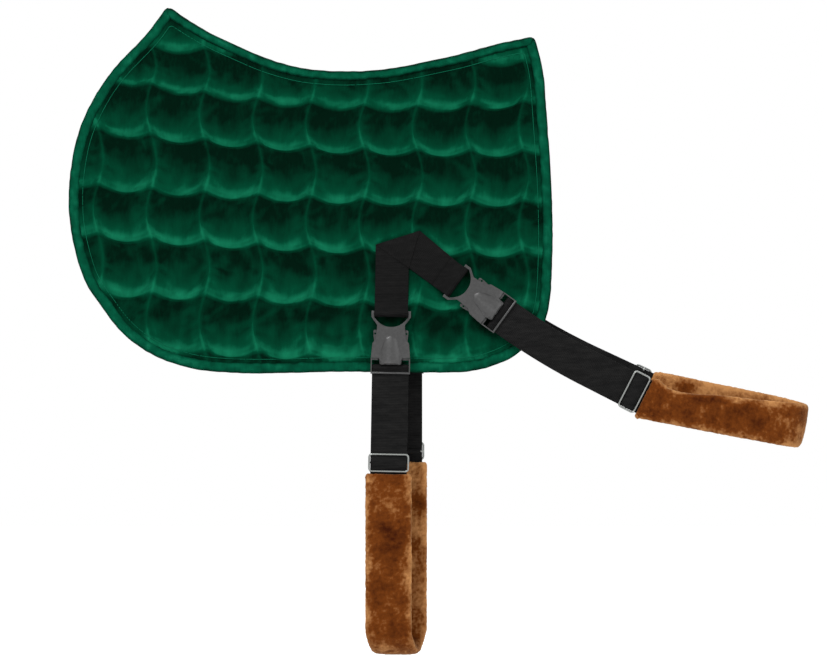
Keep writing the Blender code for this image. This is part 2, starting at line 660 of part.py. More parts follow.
def buckle_male(name, place, side, parent):
    """Male half: the frame that holds the band's webbing and the guide between the prongs."""
    cavity_half = BUCKLE_THICKNESS / 2 - PLATE - 0.4 * MM
    low, high = BUCKLE_DEPTH - cavity_half, BUCKLE_DEPTH + cavity_half
    block_half = BUCKLE_HALF_WIDTH - 2 * MM - CAVITY_WALL - 0.9 * MM
    start = MOUTH_AT + GAP
    middle = mirrored([
        (MALE_CORE_FROM, 0.0), (MALE_CORE_FROM, MALE_CORE_HALF_WIDTH - 1 * MM),
        (MALE_CORE_FROM + 1 * MM, MALE_CORE_HALF_WIDTH), (PRONG_PIVOT_AT - 6 * MM, MALE_CORE_HALF_WIDTH),
        (PRONG_PIVOT_AT - 5 * MM, PRONG_PIVOT_X - 5 * MM), (PRONG_PIVOT_AT, PRONG_PIVOT_X - 4 * MM),
        (PRONG_PIVOT_AT, block_half), (start, block_half), (start, BUCKLE_HALF_WIDTH),
        (start + 2.6 * MM, BUCKLE_HALF_WIDTH), (start + 2.6 * MM, 0.0)])
    frame = plan_slab(name, [middle], low, high)
    for sign in (-1, 1):
        socket = extruded("socket", [arc_points((PRONG_PIVOT_AT, sign * PRONG_PIVOT_X),
                                                PRONG_ROOT_RADIUS + GAP, 0, 345, 23)],
                          BUCKLE_THICKNESS, 0.0, Matrix.Translation((0, 0, BUCKLE_DEPTH)))
        frame = combine(frame, socket, "DIFFERENCE")
        across = sorted((sign * (BUCKLE_HALF_WIDTH - MALE_WALL), sign * BUCKLE_HALF_WIDTH))
        end = OUTER_BAR_AT + OUTER_BAR_RADIUS
        wall = [(start, across[0]), (end, across[0]), (end, across[1]), (start, across[1])]
        side_wall = plan_slab("wall", [wall], MALE_BACK, MALE_BACK + MALE_DEPTH)
        frame = combine(frame, side_wall, "UNION")
    reach = BUCKLE_HALF_WIDTH - MALE_WALL / 2
    inner_bar = band_bar("bar", MALE_BAR_AT, BUCKLE_DEPTH, MALE_BAR_RADIUS, reach, 10)
    frame = combine(frame, inner_bar, "UNION")
    outer_bar = band_bar("bar", OUTER_BAR_AT, OUTER_BAR_DEPTH, OUTER_BAR_RADIUS, reach, 10)
    frame = combine(frame, outer_bar, "UNION")
    return finish(put(frame, place, side), "plastic", parent)


def buckle_prong(name, place, side, sign, parent):
    """One sprung prong, with a round root and a long lobe that shows in the female's window."""
    half = PRONG_THICKNESS / 2
    root = arc_points((PRONG_PIVOT_AT, PRONG_PIVOT_X), PRONG_ROOT_RADIUS, -70, 70, 7)
    outline = root + [
        (PRONG_PIVOT_AT - 6 * MM, PRONG_PIVOT_X + 3.6 * MM), (PRONG_TIP_AT + 7.5 * MM, PRONG_TIP_X - 0.2 * MM),
        (PRONG_TIP_AT + 1.5 * MM, PRONG_TIP_X), (PRONG_TIP_AT, PRONG_TIP_X - 1.2 * MM),
        (PRONG_TIP_AT, PRONG_TIP_X - PRONG_WIDTH), (PRONG_TIP_AT + 7.5 * MM, PRONG_TIP_X - PRONG_WIDTH - 0.2 * MM),
        (PRONG_PIVOT_AT - 6 * MM, PRONG_PIVOT_X - 1.5 * MM)]
    outline = [(x, sign * y) for x, y in outline]
    prong = plan_slab(name, [outline], BUCKLE_DEPTH - half, BUCKLE_DEPTH + half)
    return finish(put(prong, place, side), "plastic", parent)


# Webbing and tri-glides

def band_path(unit, end):
    """Points and directions along a band's run from its female bar to a distance along it."""
    x, z, angle = unit.place
    start = OUTER_BAR_AT
    way = Vector((math.cos(angle), -math.sin(angle)))
    here = Vector((x, z)) + way * start
    points = [(here.copy(), angle)]
    count = max(1, round((end - start) / BAND_STEP))
    length = (end - start) / count
    for k in range(count):
        share = min(1.0, (k + 0.5) * length / unit.curve) if unit.curve else 0.0
        turned = angle + unit.turn * share
        here += Vector((math.cos(turned), -math.sin(turned))) * length
        share = min(1.0, (k + 1) * length / unit.curve) if unit.curve else 0.0
        points.append((here.copy(), angle + unit.turn * share))
    return points


def place_along(unit, distance):
    """The place and direction at a distance along a band's run."""
    here, angle = band_path(unit, distance)[-1]
    return here.x, here.y, angle


def strip_outline(path, half):
    """The outline of a strip of webbing along a path in the flap's plane."""
    left, right = [], []
    for point, angle in path:
        normal = Vector((math.sin(angle), math.cos(angle)))
        left.append(point + normal * half)
        right.append(point - normal * half)
    return left + right[::-1]


def band_run(name, unit, parent):
    """The doubled webbing from the male bar to the fleece, both layers as one piece."""
    side = unit.side
    half = BAND_THICKNESS / 2
    path = band_path(unit, unit.glide_at + unit.run_past_glide)
    run = slab(name, [strip_outline(path, BAND_WIDTH / 2)], side * (BUCKLE_DEPTH - half),
               side * (BUCKLE_DEPTH + half))
    hole_radius = MALE_BAR_RADIUS + LOOP_CLEARANCE
    ring = arc_points((MALE_BAR_AT, BUCKLE_DEPTH), hole_radius + BAND_LAYER, 50, 310, 12)
    end = OUTER_BAR_AT + 4 * MM
    bend = OUTER_BAR_AT - OUTER_BAR_RADIUS - 1 * MM
    tucked = half - TUCK
    outer = [(end, BUCKLE_DEPTH - tucked), (end, BUCKLE_DEPTH + tucked), (bend, BUCKLE_DEPTH + tucked)]
    outer += ring + [(bend, BUCKLE_DEPTH - tucked)]
    hole = arc_points((MALE_BAR_AT, BUCKLE_DEPTH), hole_radius, 0, 330, 11)
    wrap = extruded("wrap", [outer, hole], BAND_WIDTH / 2 - TUCK, 0.0, across_leg(unit.place, side))
    run = combine(run, wrap, "UNION")
    return finish(run, "webbing", parent)


def wire(name, points, radius, closed):
    """A round wire along points."""
    curve = bpy.data.curves.new(name, "CURVE")
    curve.dimensions = "3D"
    curve.bevel_depth = radius
    curve.bevel_resolution = 1
    curve.use_fill_caps = not closed
    spline = curve.splines.new("POLY")
    spline.points.add(len(points) - 1)
    for point, place in zip(spline.points, points):
        point.co = (*place, 1)
    spline.use_cyclic_u = closed
    drawn = bpy.data.objects.new(name, curve)
    PART.objects.link(drawn)
    return solid_from(drawn, name)


def tri_glide(name, unit, parent):
    """Wire frame in front of the webbing, with its centre bar behind it."""
    half_width = BAND_WIDTH / 2 + GLIDE_SIDE_CLEARANCE + WIRE_RADIUS
    half_height = GLIDE_HEIGHT / 2 - WIRE_RADIUS
    front = BUCKLE_DEPTH + BAND_THICKNESS / 2 + GAP + WIRE_RADIUS
    ring = []
    for corner, (sx, sy) in enumerate(((1, 1), (-1, 1), (-1, -1), (1, -1))):
        centre = (sx * (half_height - GLIDE_CORNER), sy * (half_width - GLIDE_CORNER))
        ring += arc_points(centre, GLIDE_CORNER, 90 * corner, 90 * corner + 90, 4)
    frame = wire(name, [(x, y, front) for x, y in ring], WIRE_RADIUS, True)
    bend = GLIDE_BAR_BEND
    back = [(0, half_width, front), (0, half_width, GLIDE_BAR_DEPTH + bend),
            (0, half_width - 0.3 * bend, GLIDE_BAR_DEPTH + 0.3 * bend), (0, half_width - bend, GLIDE_BAR_DEPTH)]
    back += [(x, -y, z) for x, y, z in back[::-1]]
    frame = combine(frame, wire("centre_bar", back, WIRE_RADIUS, False), "UNION")
    return finish(put(frame, place_along(unit, unit.glide_at), unit.side), "steel", parent)


def glide_loop(name, unit, parent):
    """The webbing's sewn end round the tri-glide's centre bar."""
    hole_radius = WIRE_RADIUS + LOOP_CLEARANCE
    outside = hole_radius + GLIDE_LOOP_WALL
    ring = arc_points((0, GLIDE_BAR_DEPTH), outside, 90, -195, 12)
    outer = [(-SEWN_LOOP_TAIL, GLIDE_BAR_DEPTH + outside)] + ring
    outer += [(-SEWN_LOOP_TAIL, GLIDE_BAR_DEPTH + outside - GLIDE_LOOP_WALL)]
    hole = arc_points((0, GLIDE_BAR_DEPTH), hole_radius, 0, 330, 11)
    place = place_along(unit, unit.glide_at)
    loop = extruded(name, [outer, hole], BAND_WIDTH / 2 - GLIDE_LOOP_INSET, 0.0, across_leg(place, unit.side))
    return finish(loop, "webbing", parent)


# Fleece sleeves

def straight_leg(start, start_angle, end, end_angle, steps):
    """Points on a line, with the angle of the section at each turning from one to another."""
    points = []
    for k in range(steps + 1):
        t = k / steps
        points.append((start.lerp(end, t), start_angle + (end_angle - start_angle) * t))
    return points


def sleeve_sections(near, far, extra=0.0):
    """Centres, width and thickness directions from the near mouth, round the fold, to the far mouth."""
    near_leg = straight_leg(*near.leg, SLEEVE_LEG_STEPS)
    far_leg = straight_leg(*far.leg, SLEEVE_LEG_STEPS)
    radius = BUCKLE_DEPTH
    sections = []
    for place, angle in near_leg:
        sections.append((place, angle, 0.0))
    for k in range(1, SLEEVE_FOLD_STEPS):
        t = k / SLEEVE_FOLD_STEPS
        place = near_leg[-1][0].lerp(far_leg[-1][0], t)
        angle = near_leg[-1][1] + (far_leg[-1][1] - near_leg[-1][1]) * t
        sections.append((place, angle, math.pi * t))
    for place, angle in far_leg[::-1]:
        sections.append((place, angle, math.pi))
    frames = []
    for place, angle, turn in sections:
        way = Vector((math.cos(angle), 0, -math.sin(angle)))
        width = Vector((math.sin(angle), 0, math.cos(angle)))
        centre = Vector((place.x, 0, place.y)) + way * radius * math.sin(turn)
        centre.y = -radius * math.cos(turn)
        thick = Vector((0, -1, 0)) * math.cos(turn) + way * math.sin(turn)
        frames.append((centre, width, thick, way))
    if extra:
        first, last = frames[0], frames[-1]
        before = (first[0] - frames[1][0]).normalized()
        after = (last[0] - frames[-2][0]).normalized()
        frames[0] = (first[0] + before * extra, *first[1:])
        frames[-1] = (last[0] + after * extra, *last[1:])
    return frames


def swept(name, frames, ring):
    """A closed solid whose section, points across and through, is carried along the frames."""
    work = bmesh.new()
    loops = []
    for centre, width, thick, _ in frames:
        loops.append([work.verts.new(centre + width * a + thick * b) for a, b in ring])
    for one, two in zip(loops, loops[1:]):
        for k, vert in enumerate(one):
            work.faces.new((one[k - 1], vert, two[k], two[k - 1]))
    work.faces.new(loops[0])
    work.faces.new(loops[-1])
    bmesh.ops.recalc_face_normals(work, faces=work.faces)
    mesh = bpy.data.meshes.new(name)
    work.to_mesh(mesh)
    work.free()
    return mesh_object(name, mesh)


def flat_ring(width, thickness):
    """A rectangular section."""
    a, b = width / 2, thickness / 2
    return [(a, b), (-a, b), (-a, -b), (a, -b)]


def fleece_sleeve(name, near, far, parent):
    """A fleece sleeve folded at its middle, with the bore that the webbing runs in."""
    ring = []
    for k in range(SLEEVE_SIDES):
        angle = 2 * math.pi * (k + 0.5) / SLEEVE_SIDES
        across, through = math.cos(angle), math.sin(angle)
        ring.append((math.copysign(abs(across) ** 0.55, across) * SLEEVE_WIDTH / 2,
                     math.copysign(abs(through) ** 0.75, through) * SLEEVE_THICKNESS / 2))
    sleeve = swept(name, sleeve_sections(near, far), ring)
    bore = swept("bore", sleeve_sections(near, far, SLEEVE_BORE_PAST_MOUTH), flat_ring(SLEEVE_BORE_WIDTH, SLEEVE_BORE_THICKNESS))
    sleeve = combine(sleeve, bore, "DIFFERENCE")
    return finish(sleeve, "fleece", parent)


class Unit:
    """One side's stretch of a band: its buckle, webbing and tri-glide."""

    def __init__(self, name, side, place, hind):
        self.name = name
        self.side = side
        self.place = place
        self.glide_at = GLIDE_AT[name]
        self.curve = HIND_CURVE if hind else 0.0
        self.turn = math.radians(HIND_TURN) if hind else 0.0
        glide_angle = place_along(self, self.glide_at)[2]
        self.mouth_angle = math.radians(HIND_MOUTH_ANGLES[max(0, side)]) if hind else glide_angle
        self.bend = abs(glide_angle - self.mouth_angle)
        self.mouth_past_glide = MOUTH_PAST_GLIDE + SLEEVE_WIDTH / 2 * math.sin(self.bend)
        mouth_gap = MOUTH_GAPS[name.split("_")[0]]
        self.run_past_glide = self.mouth_past_glide - BAND_WIDTH / 2 * math.tan(self.bend) - mouth_gap
        self.leg = None

    def mouth(self):
        """Where the sleeve starts."""
        x, z, angle = place_along(self, self.glide_at)
        way = Vector((math.cos(angle), -math.sin(angle)))
        return Vector((x, z)) + way * self.mouth_past_glide


def bar_place(x, z, angle):
    """A band's start, lifted from the spine's top to the origin, with its angle in radians."""
    return x, z + RIDGE_DEPTH, math.radians(angle)


def set_legs(near, far, hind):
    """The legs of the sleeve that joins the two sides of a band."""
    near_mouth, far_mouth = near.mouth(), far.mouth()
    if not hind:
        end = near_mouth + Vector((0, -BELLY_LEG))
        far_end = Vector((far_mouth.x, end.y))
        near.leg = (near_mouth, near.mouth_angle, end, near.mouth_angle)
        far.leg = (far_mouth, far.mouth_angle, far_end, far.mouth_angle)
        return
    way = math.radians(HIND_LEG_ANGLE)
    end = near_mouth + Vector((math.cos(way), -math.sin(way))) * HIND_LEG
    fold = math.radians(HIND_FOLD_ANGLE)
    near.leg = (near_mouth, near.mouth_angle, end, fold)
    far.leg = (far_mouth, far.mouth_angle, end + Vector((0, HIND_FOLD_RISE)), fold)


def build_unit(unit, flap):
    """One side's buckle, webbing and tri-glide, each on its joint's axis, and the empty that a sleeve rides on."""
    place, side, name = unit.place, unit.side, unit.name
    matrix = on_plan(place, side)
    swing = empty(name + "_swing", matrix @ Vector((0, 0, BUCKLE_DEPTH)), flap)
    buckle_female(name + "_buckle_female", place, side, swing)
    release = empty(name + "_release", matrix @ Vector((MOUTH_AT, 0, BUCKLE_DEPTH)), swing)
    buckle_male(name + "_buckle_male", place, side, release)
    for sign in (1, -1):
        word = "rear" if side * sign < 0 else "front"
        pivot = matrix @ Vector((PRONG_PIVOT_AT, sign * PRONG_PIVOT_X, BUCKLE_DEPTH))
        hinge = empty(f"{name}_{word}_prong_hinge", pivot, release)
        buckle_prong(f"{name}_{word}_prong", place, side, sign, hinge)
    band_run(name + "_webbing", unit, release)
    x, z, _ = place_along(unit, unit.glide_at)
    slide = empty(name + "_glide_slide", (x, side * BUCKLE_DEPTH, z), release)
    tri_glide(name + "_tri_glide", unit, slide)
    glide_loop(name + "_glide_loop", unit, slide)
    return release


def main():
    """Builds the pad, then each side's bands, then the two sleeves."""
    root = empty("spine", (0, 0, 0))
    flaps = {}
    for side, word in SIDES:
        flaps[word] = empty(word + "_flap_fold", (0, side * FOLD_AXIS_DEPTH, FOLD_LEVEL), root)
    near_belly = bar_place(BELLY_BAR_X, BELLY_BAR_Z, BELLY_ANGLE + NEAR_BELLY_LEAN)
    near_hind = bar_place(HIND_BAR_X, HIND_BAR_Z, HIND_ANGLE)
    far_belly = bar_place(BELLY_BAR_X + FAR_BELLY_SHIFT, BELLY_BAR_Z, BELLY_ANGLE)
    far_hind = bar_place(HIND_BAR_X, HIND_BAR_Z, HIND_ANGLE + FAR_HIND_TURN)
    straps = {"left": (near_belly, near_hind), "right": (far_belly, far_hind)}
    build_flaps(root, flaps, straps)
    for side, word in SIDES:
        v_strap(side, word + "_v_strap", *straps[word], flaps[word])
    for band, index in (("belly", 0), ("hind", 1)):
        near = Unit(f"left_{band}", -1, straps["left"][index], band == "hind")
        far = Unit(f"right_{band}", 1, straps["right"][index], band == "hind")
        set_legs(near, far, band == "hind")
        carrier = build_unit(near, flaps["left"])
        build_unit(far, flaps["right"])
        fleece_sleeve(band + "_fleece_sleeve", near, far, carrier)
        inner = swept(band + "_inner_webbing", sleeve_sections(near, far), flat_ring(BAND_WIDTH, INNER_WEBBING))
        finish(inner, "webbing", carrier)


PART = start_scene()
MATERIALS = make_materials()
main()
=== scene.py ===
"""Looks of the training saddle pad: quilted velvet, webbing, moulded buckles, wire slides and fleece sleeves.

The horse faces -X, its left side is at -Y and +Z is up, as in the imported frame. Units are metres.
"""

import logging
import math
from dataclasses import dataclass
from enum import Enum
from typing import Sequence

import bpy
import numpy as np
from mathutils import Matrix, Vector, noise


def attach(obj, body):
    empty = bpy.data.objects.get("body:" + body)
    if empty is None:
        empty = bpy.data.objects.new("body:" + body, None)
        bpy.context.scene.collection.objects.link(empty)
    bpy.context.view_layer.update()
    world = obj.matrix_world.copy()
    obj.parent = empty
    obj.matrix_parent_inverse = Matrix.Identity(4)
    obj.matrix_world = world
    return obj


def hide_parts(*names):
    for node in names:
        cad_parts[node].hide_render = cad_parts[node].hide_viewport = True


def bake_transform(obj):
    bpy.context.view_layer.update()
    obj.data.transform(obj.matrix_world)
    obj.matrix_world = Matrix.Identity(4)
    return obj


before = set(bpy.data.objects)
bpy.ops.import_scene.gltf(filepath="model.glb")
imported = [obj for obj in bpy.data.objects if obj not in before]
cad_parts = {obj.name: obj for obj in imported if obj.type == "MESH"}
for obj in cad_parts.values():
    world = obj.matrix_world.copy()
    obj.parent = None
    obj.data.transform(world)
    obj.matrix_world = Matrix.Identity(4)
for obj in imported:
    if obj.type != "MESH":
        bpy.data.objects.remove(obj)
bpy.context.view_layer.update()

Colour = tuple[float, float, float]
Scales = tuple[float, float, float]
Point = tuple[float, float]
Bump = tuple[float, float]  # metres for a height of 1, and strength
Stations = list[tuple[np.ndarray, float]]
Piece = bpy.types.Object
Finish = bpy.types.Material
Socket = bpy.types.NodeSocket

LOG = logging.getLogger("training_saddle_pad")
MM = 0.001

# Degrees from which an edge stays sharp in the shading
SOFT_EDGE = 50.0
MOULDED_EDGE = 40.0
WIRE_EDGE = 60.0

# Pad outline, in millimetres from the top of the spine at its dip
TOP_EDGE_MM: list[Point] = [
    (-236.7, 88.0), (-213.3, 71.3), (-177.6, 50.0), (-141.9, 33.3), (-106.1, 18.0), (-70.7, 7.3),
    (-41.9, 2.3), (0.0, 0.0), (47.2, 2.5), (82.7, 7.9), (118.7, 15.5), (154.3, 23.3), (201.9, 36.4),
    (253.3, 47.0),
]
REAR_EDGE_MM: list[Point] = [
    (260.0, 20.0), (266.1, -11.3), (270.9, -75.3), (275.7, -146.9), (277.6, -217.5), (276.0, -279.3),
    (272.0, -317.5), (262.0, -345.0), (235.2, -374.5), (204.0, -392.0), (160.0, -402.5), (82.7, -403.2),
    (-8.5, -402.4), (-118.7, -404.7), (-185.3, -401.2), (-227.6, -391.7), (-265.7, -375.1),
    (-299.1, -348.7), (-325.3, -315.3), (-349.1, -277.5), (-365.7, -217.9), (-369.3, -167.3),
    (-365.7, -124.7), (-356.1, -82.0), (-337.2, -39.3), (-308.5, 3.5), (-265.7, 48.7),
]
SPINE_TOP = 12.0 * MM
OUTLINE_STEPS = 4
OUTLINE_SPACING = 4.0 * MM
TIP_CLEARANCE = 2.0 * MM
TIP_RADIUS = 13.5 * MM
ROLL_TIP_RADIUS = 8.5 * MM
STITCH_TIP_RADIUS = 24.0 * MM
ROLL_WIDTH = 15.5 * MM

# Depths, measured outwards from the plane between the flaps
SEAM_DEPTH = 13.6 * MM
STRAP_DEPTH = 16.3 * MM
BAND_DEPTH = 24.4 * MM

# The bands, past the female halves' bars
OUTER_BAR_AT = 79.5 * MM
HIND_CURVE = 133.0 * MM
HIND_TURN = -9.0
GLIDE_TO_FLEECE = 14.8 * MM
WEBBING_IN_FLEECE = 5.0 * MM

# The fleece legs, from their mouths to the fold
BELLY_LEG = 211.0 * MM
BELLY_SEAM_AT = 59.5 * MM
HIND_LEG = 190.0 * MM
HIND_WAY = 10.5
HIND_FOLD = 11.7
HIND_FAR_RISE = 5.0 * MM
HIND_SAGS_MM: list[Point] = [
    (0.0, 1.5), (0.035, 2.5), (0.13, 13.5), (0.2, 16.0), (0.32, 15.0), (0.5, 10.5), (0.7, 8.0),
    (0.85, 5.7), (1.0, 3.0),
]


class Side(Enum):
    """Side of the horse, as the sign of Y."""

    LEFT = -1
    RIGHT = 1

    @property
    def word(self) -> str:
        """Name of the side in lower case."""
        return self.name.lower()


class BandName(Enum):
    """The two closed bands."""

    BELLY = "belly"
    HIND = "hind"


class Slot(Enum):
    """Material slots of the record."""

    VELVET = "velvet"
    BINDING = "binding"
    LINING = "lining"
    WEBBING = "webbing"
    PLASTIC = "plastic"
    STEEL = "steel"
    FLEECE = "fleece"


def deselect_all() -> None:
    """Leaves nothing selected."""
    for item in bpy.context.selected_objects:
        item.select_set(False)


def pick(item: Piece) -> None:
    """Selects one object and makes it active.

    Args:
        item: The object.
    """
    deselect_all()
    item.select_set(True)
    bpy.context.view_layer.objects.active = item


def clean_up(item: Piece, reach: float = 0.01 * MM) -> None:
    """Merges doubles, closes open ends and points the faces outwards.

    Args:
        item: A closed piece, perhaps with open ends.
        reach: Distance under which points are merged.
    """
    pick(item)
    bpy.ops.object.mode_set(mode="EDIT")
    bpy.ops.mesh.select_all(action="SELECT")
    bpy.ops.mesh.remove_doubles(threshold=reach)
    bpy.ops.mesh.fill_holes(sides=0)
    bpy.ops.mesh.select_all(action="SELECT")
    bpy.ops.mesh.normals_make_consistent(inside=False)
    bpy.ops.object.mode_set(mode="OBJECT")


def select_points(item: Piece, chosen: np.ndarray) -> None:
    """Selects points of a mesh, and nothing else of it.

    Args:
        item: The piece, left in object mode.
        chosen: One truth a point.
    """
    pick(item)
    bpy.ops.object.mode_set(mode="EDIT")
    bpy.ops.mesh.select_mode(type="VERT")
    bpy.ops.mesh.select_all(action="DESELECT")
    bpy.ops.object.mode_set(mode="OBJECT")
    item.data.vertices.foreach_set("select", chosen)


def apply_modifiers(item: Piece) -> None:
    """Applies every modifier of a piece, in order.

    Args:
        item: The piece.
    """
    pick(item)
    for modifier in list(item.modifiers):
        bpy.ops.object.modifier_apply(modifier=modifier.name)


def smooth(item: Piece, degrees: float) -> None:
    """Shades a piece smooth, with edges kept where its faces turn by more than an angle."""
    pick(item)
    bpy.ops.object.shade_smooth_by_angle(angle=math.radians(degrees))


def soften(item: Piece) -> None:
    """Shades a piece smooth all over."""
    pick(item)
    bpy.ops.object.shade_smooth()


def duplicate(source: Piece, name: str) -> Piece:
    """A copy of an object with a mesh of its own.

    Args:
        source: The object that is copied.
        name: The copy's name.

    Returns:
        The copy.
    """
    item = source.copy()
    item.data = source.data.copy()
    item.name = name
    item.data.name = name
    bpy.context.scene.collection.objects.link(item)
    return item


def thicken(item: Piece, thickness: float, offset: float) -> None:
    """Turns a sheet into cloth.

    Args:
        item: The sheet.
        thickness: Thickness of the cloth.
        offset: -1 where the cloth lies behind the sheet's faces, 1 where it lies before them.
    """
    pick(item)
    bpy.ops.object.modifier_add(type="SOLIDIFY")
    item.modifiers[-1].thickness = thickness
    item.modifiers[-1].offset = offset
    apply_modifiers(item)


def dress(item: Piece, material: Finish) -> None:
    """Gives a piece its one finish."""
    item.data.materials.clear()
    item.data.materials.append(material)


def settle(item: Piece, material: Finish, body: str) -> Piece:
    """Dresses a finished piece and lets it ride.

    Args:
        item: The piece, with its place in its mesh.
        material: Its finish.
        body: The body that it moves with.

    Returns:
        The piece.
    """
    dress(item, material)
    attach(item, body)
    LOG.info("%s: %d faces on %s", item.name, len(item.data.polygons), body)
    return item


def points_of(item: Piece) -> np.ndarray:
    """The places of a piece's points, one row each.

    Args:
        item: The piece.

    Returns:
        A row of x, y and z for each point.
    """
    flat = np.zeros(len(item.data.vertices) * 3)
    item.data.vertices.foreach_get("co", flat)
    return flat.reshape(-1, 3)


def move_points(item: Piece, places: np.ndarray) -> None:
    """Gives a piece's points new places."""
    item.data.vertices.foreach_set("co", places.ravel())
    item.data.update()


def grid_sheet(name: str, across: int, along: int) -> tuple[Piece, np.ndarray, np.ndarray]:
    """A flat sheet of square faces, to be rolled, bent or quilted.

    Args:
        name: Name of the piece.
        across: Faces in the first direction.
        along: Faces in the second direction.

    Returns:
        The piece, and each point's column and row as whole numbers.
    """
    deselect_all()
    bpy.ops.mesh.primitive_grid_add(x_subdivisions=across, y_subdivisions=along, size=1.0, location=(0, 0, 0))
    item = bpy.context.active_object
    item.name = name
    item.data.name = name
    flat = points_of(item)
    columns = np.rint((flat[:, 0] + 0.5) * across).astype(int)
    rows = np.rint((flat[:, 1] + 0.5) * along).astype(int)
    return item, columns, rows


def set_cloth_map(item: Piece, across: np.ndarray, along: np.ndarray) -> None:
    """Writes the piece's own map, in decimetres across and along the cloth, from values at its points.

    Args:
        item: The piece.
        across: Metres across the cloth at each point.
        along: Metres along the cloth at each point.
    """
    layer = item.data.uv_layers.active or item.data.uv_layers.new(name="UVMap")
    corners = np.zeros(len(item.data.loops), int)
    item.data.loops.foreach_get("vertex_index", corners)
    values = np.stack([across[corners], along[corners]], axis=1) * 10.0
    layer.data.foreach_set("uv", values.ravel().astype(np.float32))


def set_shade(item: Piece, values: np.ndarray, name: str = "nap") -> None:
    """Stores one number a point, for the finish to read."""
    attribute = item.data.attributes.get(name) or item.data.attributes.new(name, "FLOAT", "POINT")
    attribute.data.foreach_set("value", values.astype(np.float32))


def point_normals(item: Piece) -> np.ndarray:
    """The smoothed normal at each point.

    Args:
        item: The piece.

    Returns:
        A unit normal for each point.
    """
    flat = np.zeros(len(item.data.vertices) * 3, np.float32)
    item.data.vertex_normals.foreach_get("vector", flat)
    return flat.reshape(-1, 3).astype(float)


def grain(places: np.ndarray, size: float, seed: float = 0.0) -> np.ndarray:
    """Smooth noise from -1 to 1 at each place, with lumps of about a size."""
    shift = Vector((seed, seed * 0.7, -seed))
    return np.array([noise.noise(Vector(place) / size + shift) for place in places])


class Recipe:
    """A material under construction: its node tree and its one Principled shader."""

    def __init__(self, name: str) -> None:
        """Starts a material.

        Args:
            name: Name of the finish.
        """
        self.material = bpy.data.materials.new(name)
        self.material.use_nodes = True
        self.nodes = self.material.node_tree.nodes
        self.links = self.material.node_tree.links
        self.shader = self.nodes["Principled BSDF"]

    def fixed(self, **values: object) -> None:
        """Sets plain values on the shader's own sockets, with _ for the spaces in their names."""
        for key, value in values.items():
            self.shader.inputs[key.replace("_", " ")].default_value = value

    def node(self, kind: str, settings: dict | None = None, inputs: dict | None = None) -> bpy.types.Node:
        """Adds a node.

        Args:
            kind: The node's type.
            settings: Properties of the node.
            inputs: Values or other nodes' outputs, by socket name or number.

        Returns:
            The node.
        """
        made = self.nodes.new(kind)
        for key, value in (settings or {}).items():
            setattr(made, key, value)
        for key, value in (inputs or {}).items():
            if isinstance(value, Socket):
                self.links.new(value, made.inputs[key])
            else:
                made.inputs[key].default_value = value
        return made

    def maths(self, operation: str, *values: object) -> Socket:
        """The result of a Math node on numbers or outputs."""
        return self.node("ShaderNodeMath", {"operation": operation}, dict(enumerate(values))).outputs[0]

    def object_place(self, scale: Sequence[float] = (1.0, 1.0, 1.0)) -> Socket:
        """Object coordinates, scaled.

        Args:
            scale: The scale along each axis.

        Returns:
            The scaled coordinates.
        """
        coordinates = self.node("ShaderNodeTexCoord").outputs["Object"]
        mapped = self.node("ShaderNodeMapping", inputs={"Vector": coordinates, "Scale": tuple(scale)})
        return mapped.outputs["Vector"]

    def cloth_place(self) -> tuple[Socket, Socket]:
        """The piece's own map: across and along the cloth, in decimetres.

        Returns:
            The two coordinates.
        """
        mapped = self.node("ShaderNodeTexCoord").outputs["UV"]
        split = self.node("ShaderNodeSeparateXYZ", inputs={0: mapped})
        return split.outputs["X"], split.outputs["Y"]

    def lumps(self, place: Socket, scale: float, detail: float = 2.0) -> Socket:
        """A noise pattern from 0 to 1."""
        inputs = {"Vector": place, "Scale": scale, "Detail": detail, "Roughness": 0.55}
        return self.node("ShaderNodeTexNoise", inputs=inputs).outputs[0]

    def attribute(self, name: str) -> Socket:
        """A number stored on the piece's points."""
        return self.node("ShaderNodeAttribute", {"attribute_name": name}).outputs["Fac"]

    def ramp(self, factor: Socket, stops: Sequence[tuple[float, Colour]]) -> None:
        """Colours the shader along a ramp.

        Args:
            factor: What picks the colour.
            stops: Places on the ramp and their colours.
        """
        made = self.node("ShaderNodeValToRGB", inputs={"Fac": factor})
        elements = made.color_ramp.elements
        while len(elements) < len(stops):
            elements.new(0.5)
        for element, (place, colour) in zip(elements, stops):
            element.position = place
            element.color = (*colour, 1.0)
        self.links.new(made.outputs["Color"], self.shader.inputs["Base Color"])

    def relief(self, height: Socket, distance: float, strength: float = 1.0) -> None:
        """Gives the shader a bump of a height in metres.

        Args:
            height: The height that makes the bump.
            distance: Metres for a height of 1.
            strength: Share of the bump that shows.
        """
        inputs = {"Height": height, "Distance": distance, "Strength": strength}
        bump = self.node("ShaderNodeBump", inputs=inputs)
        self.links.new(bump.outputs["Normal"], self.shader.inputs["Normal"])


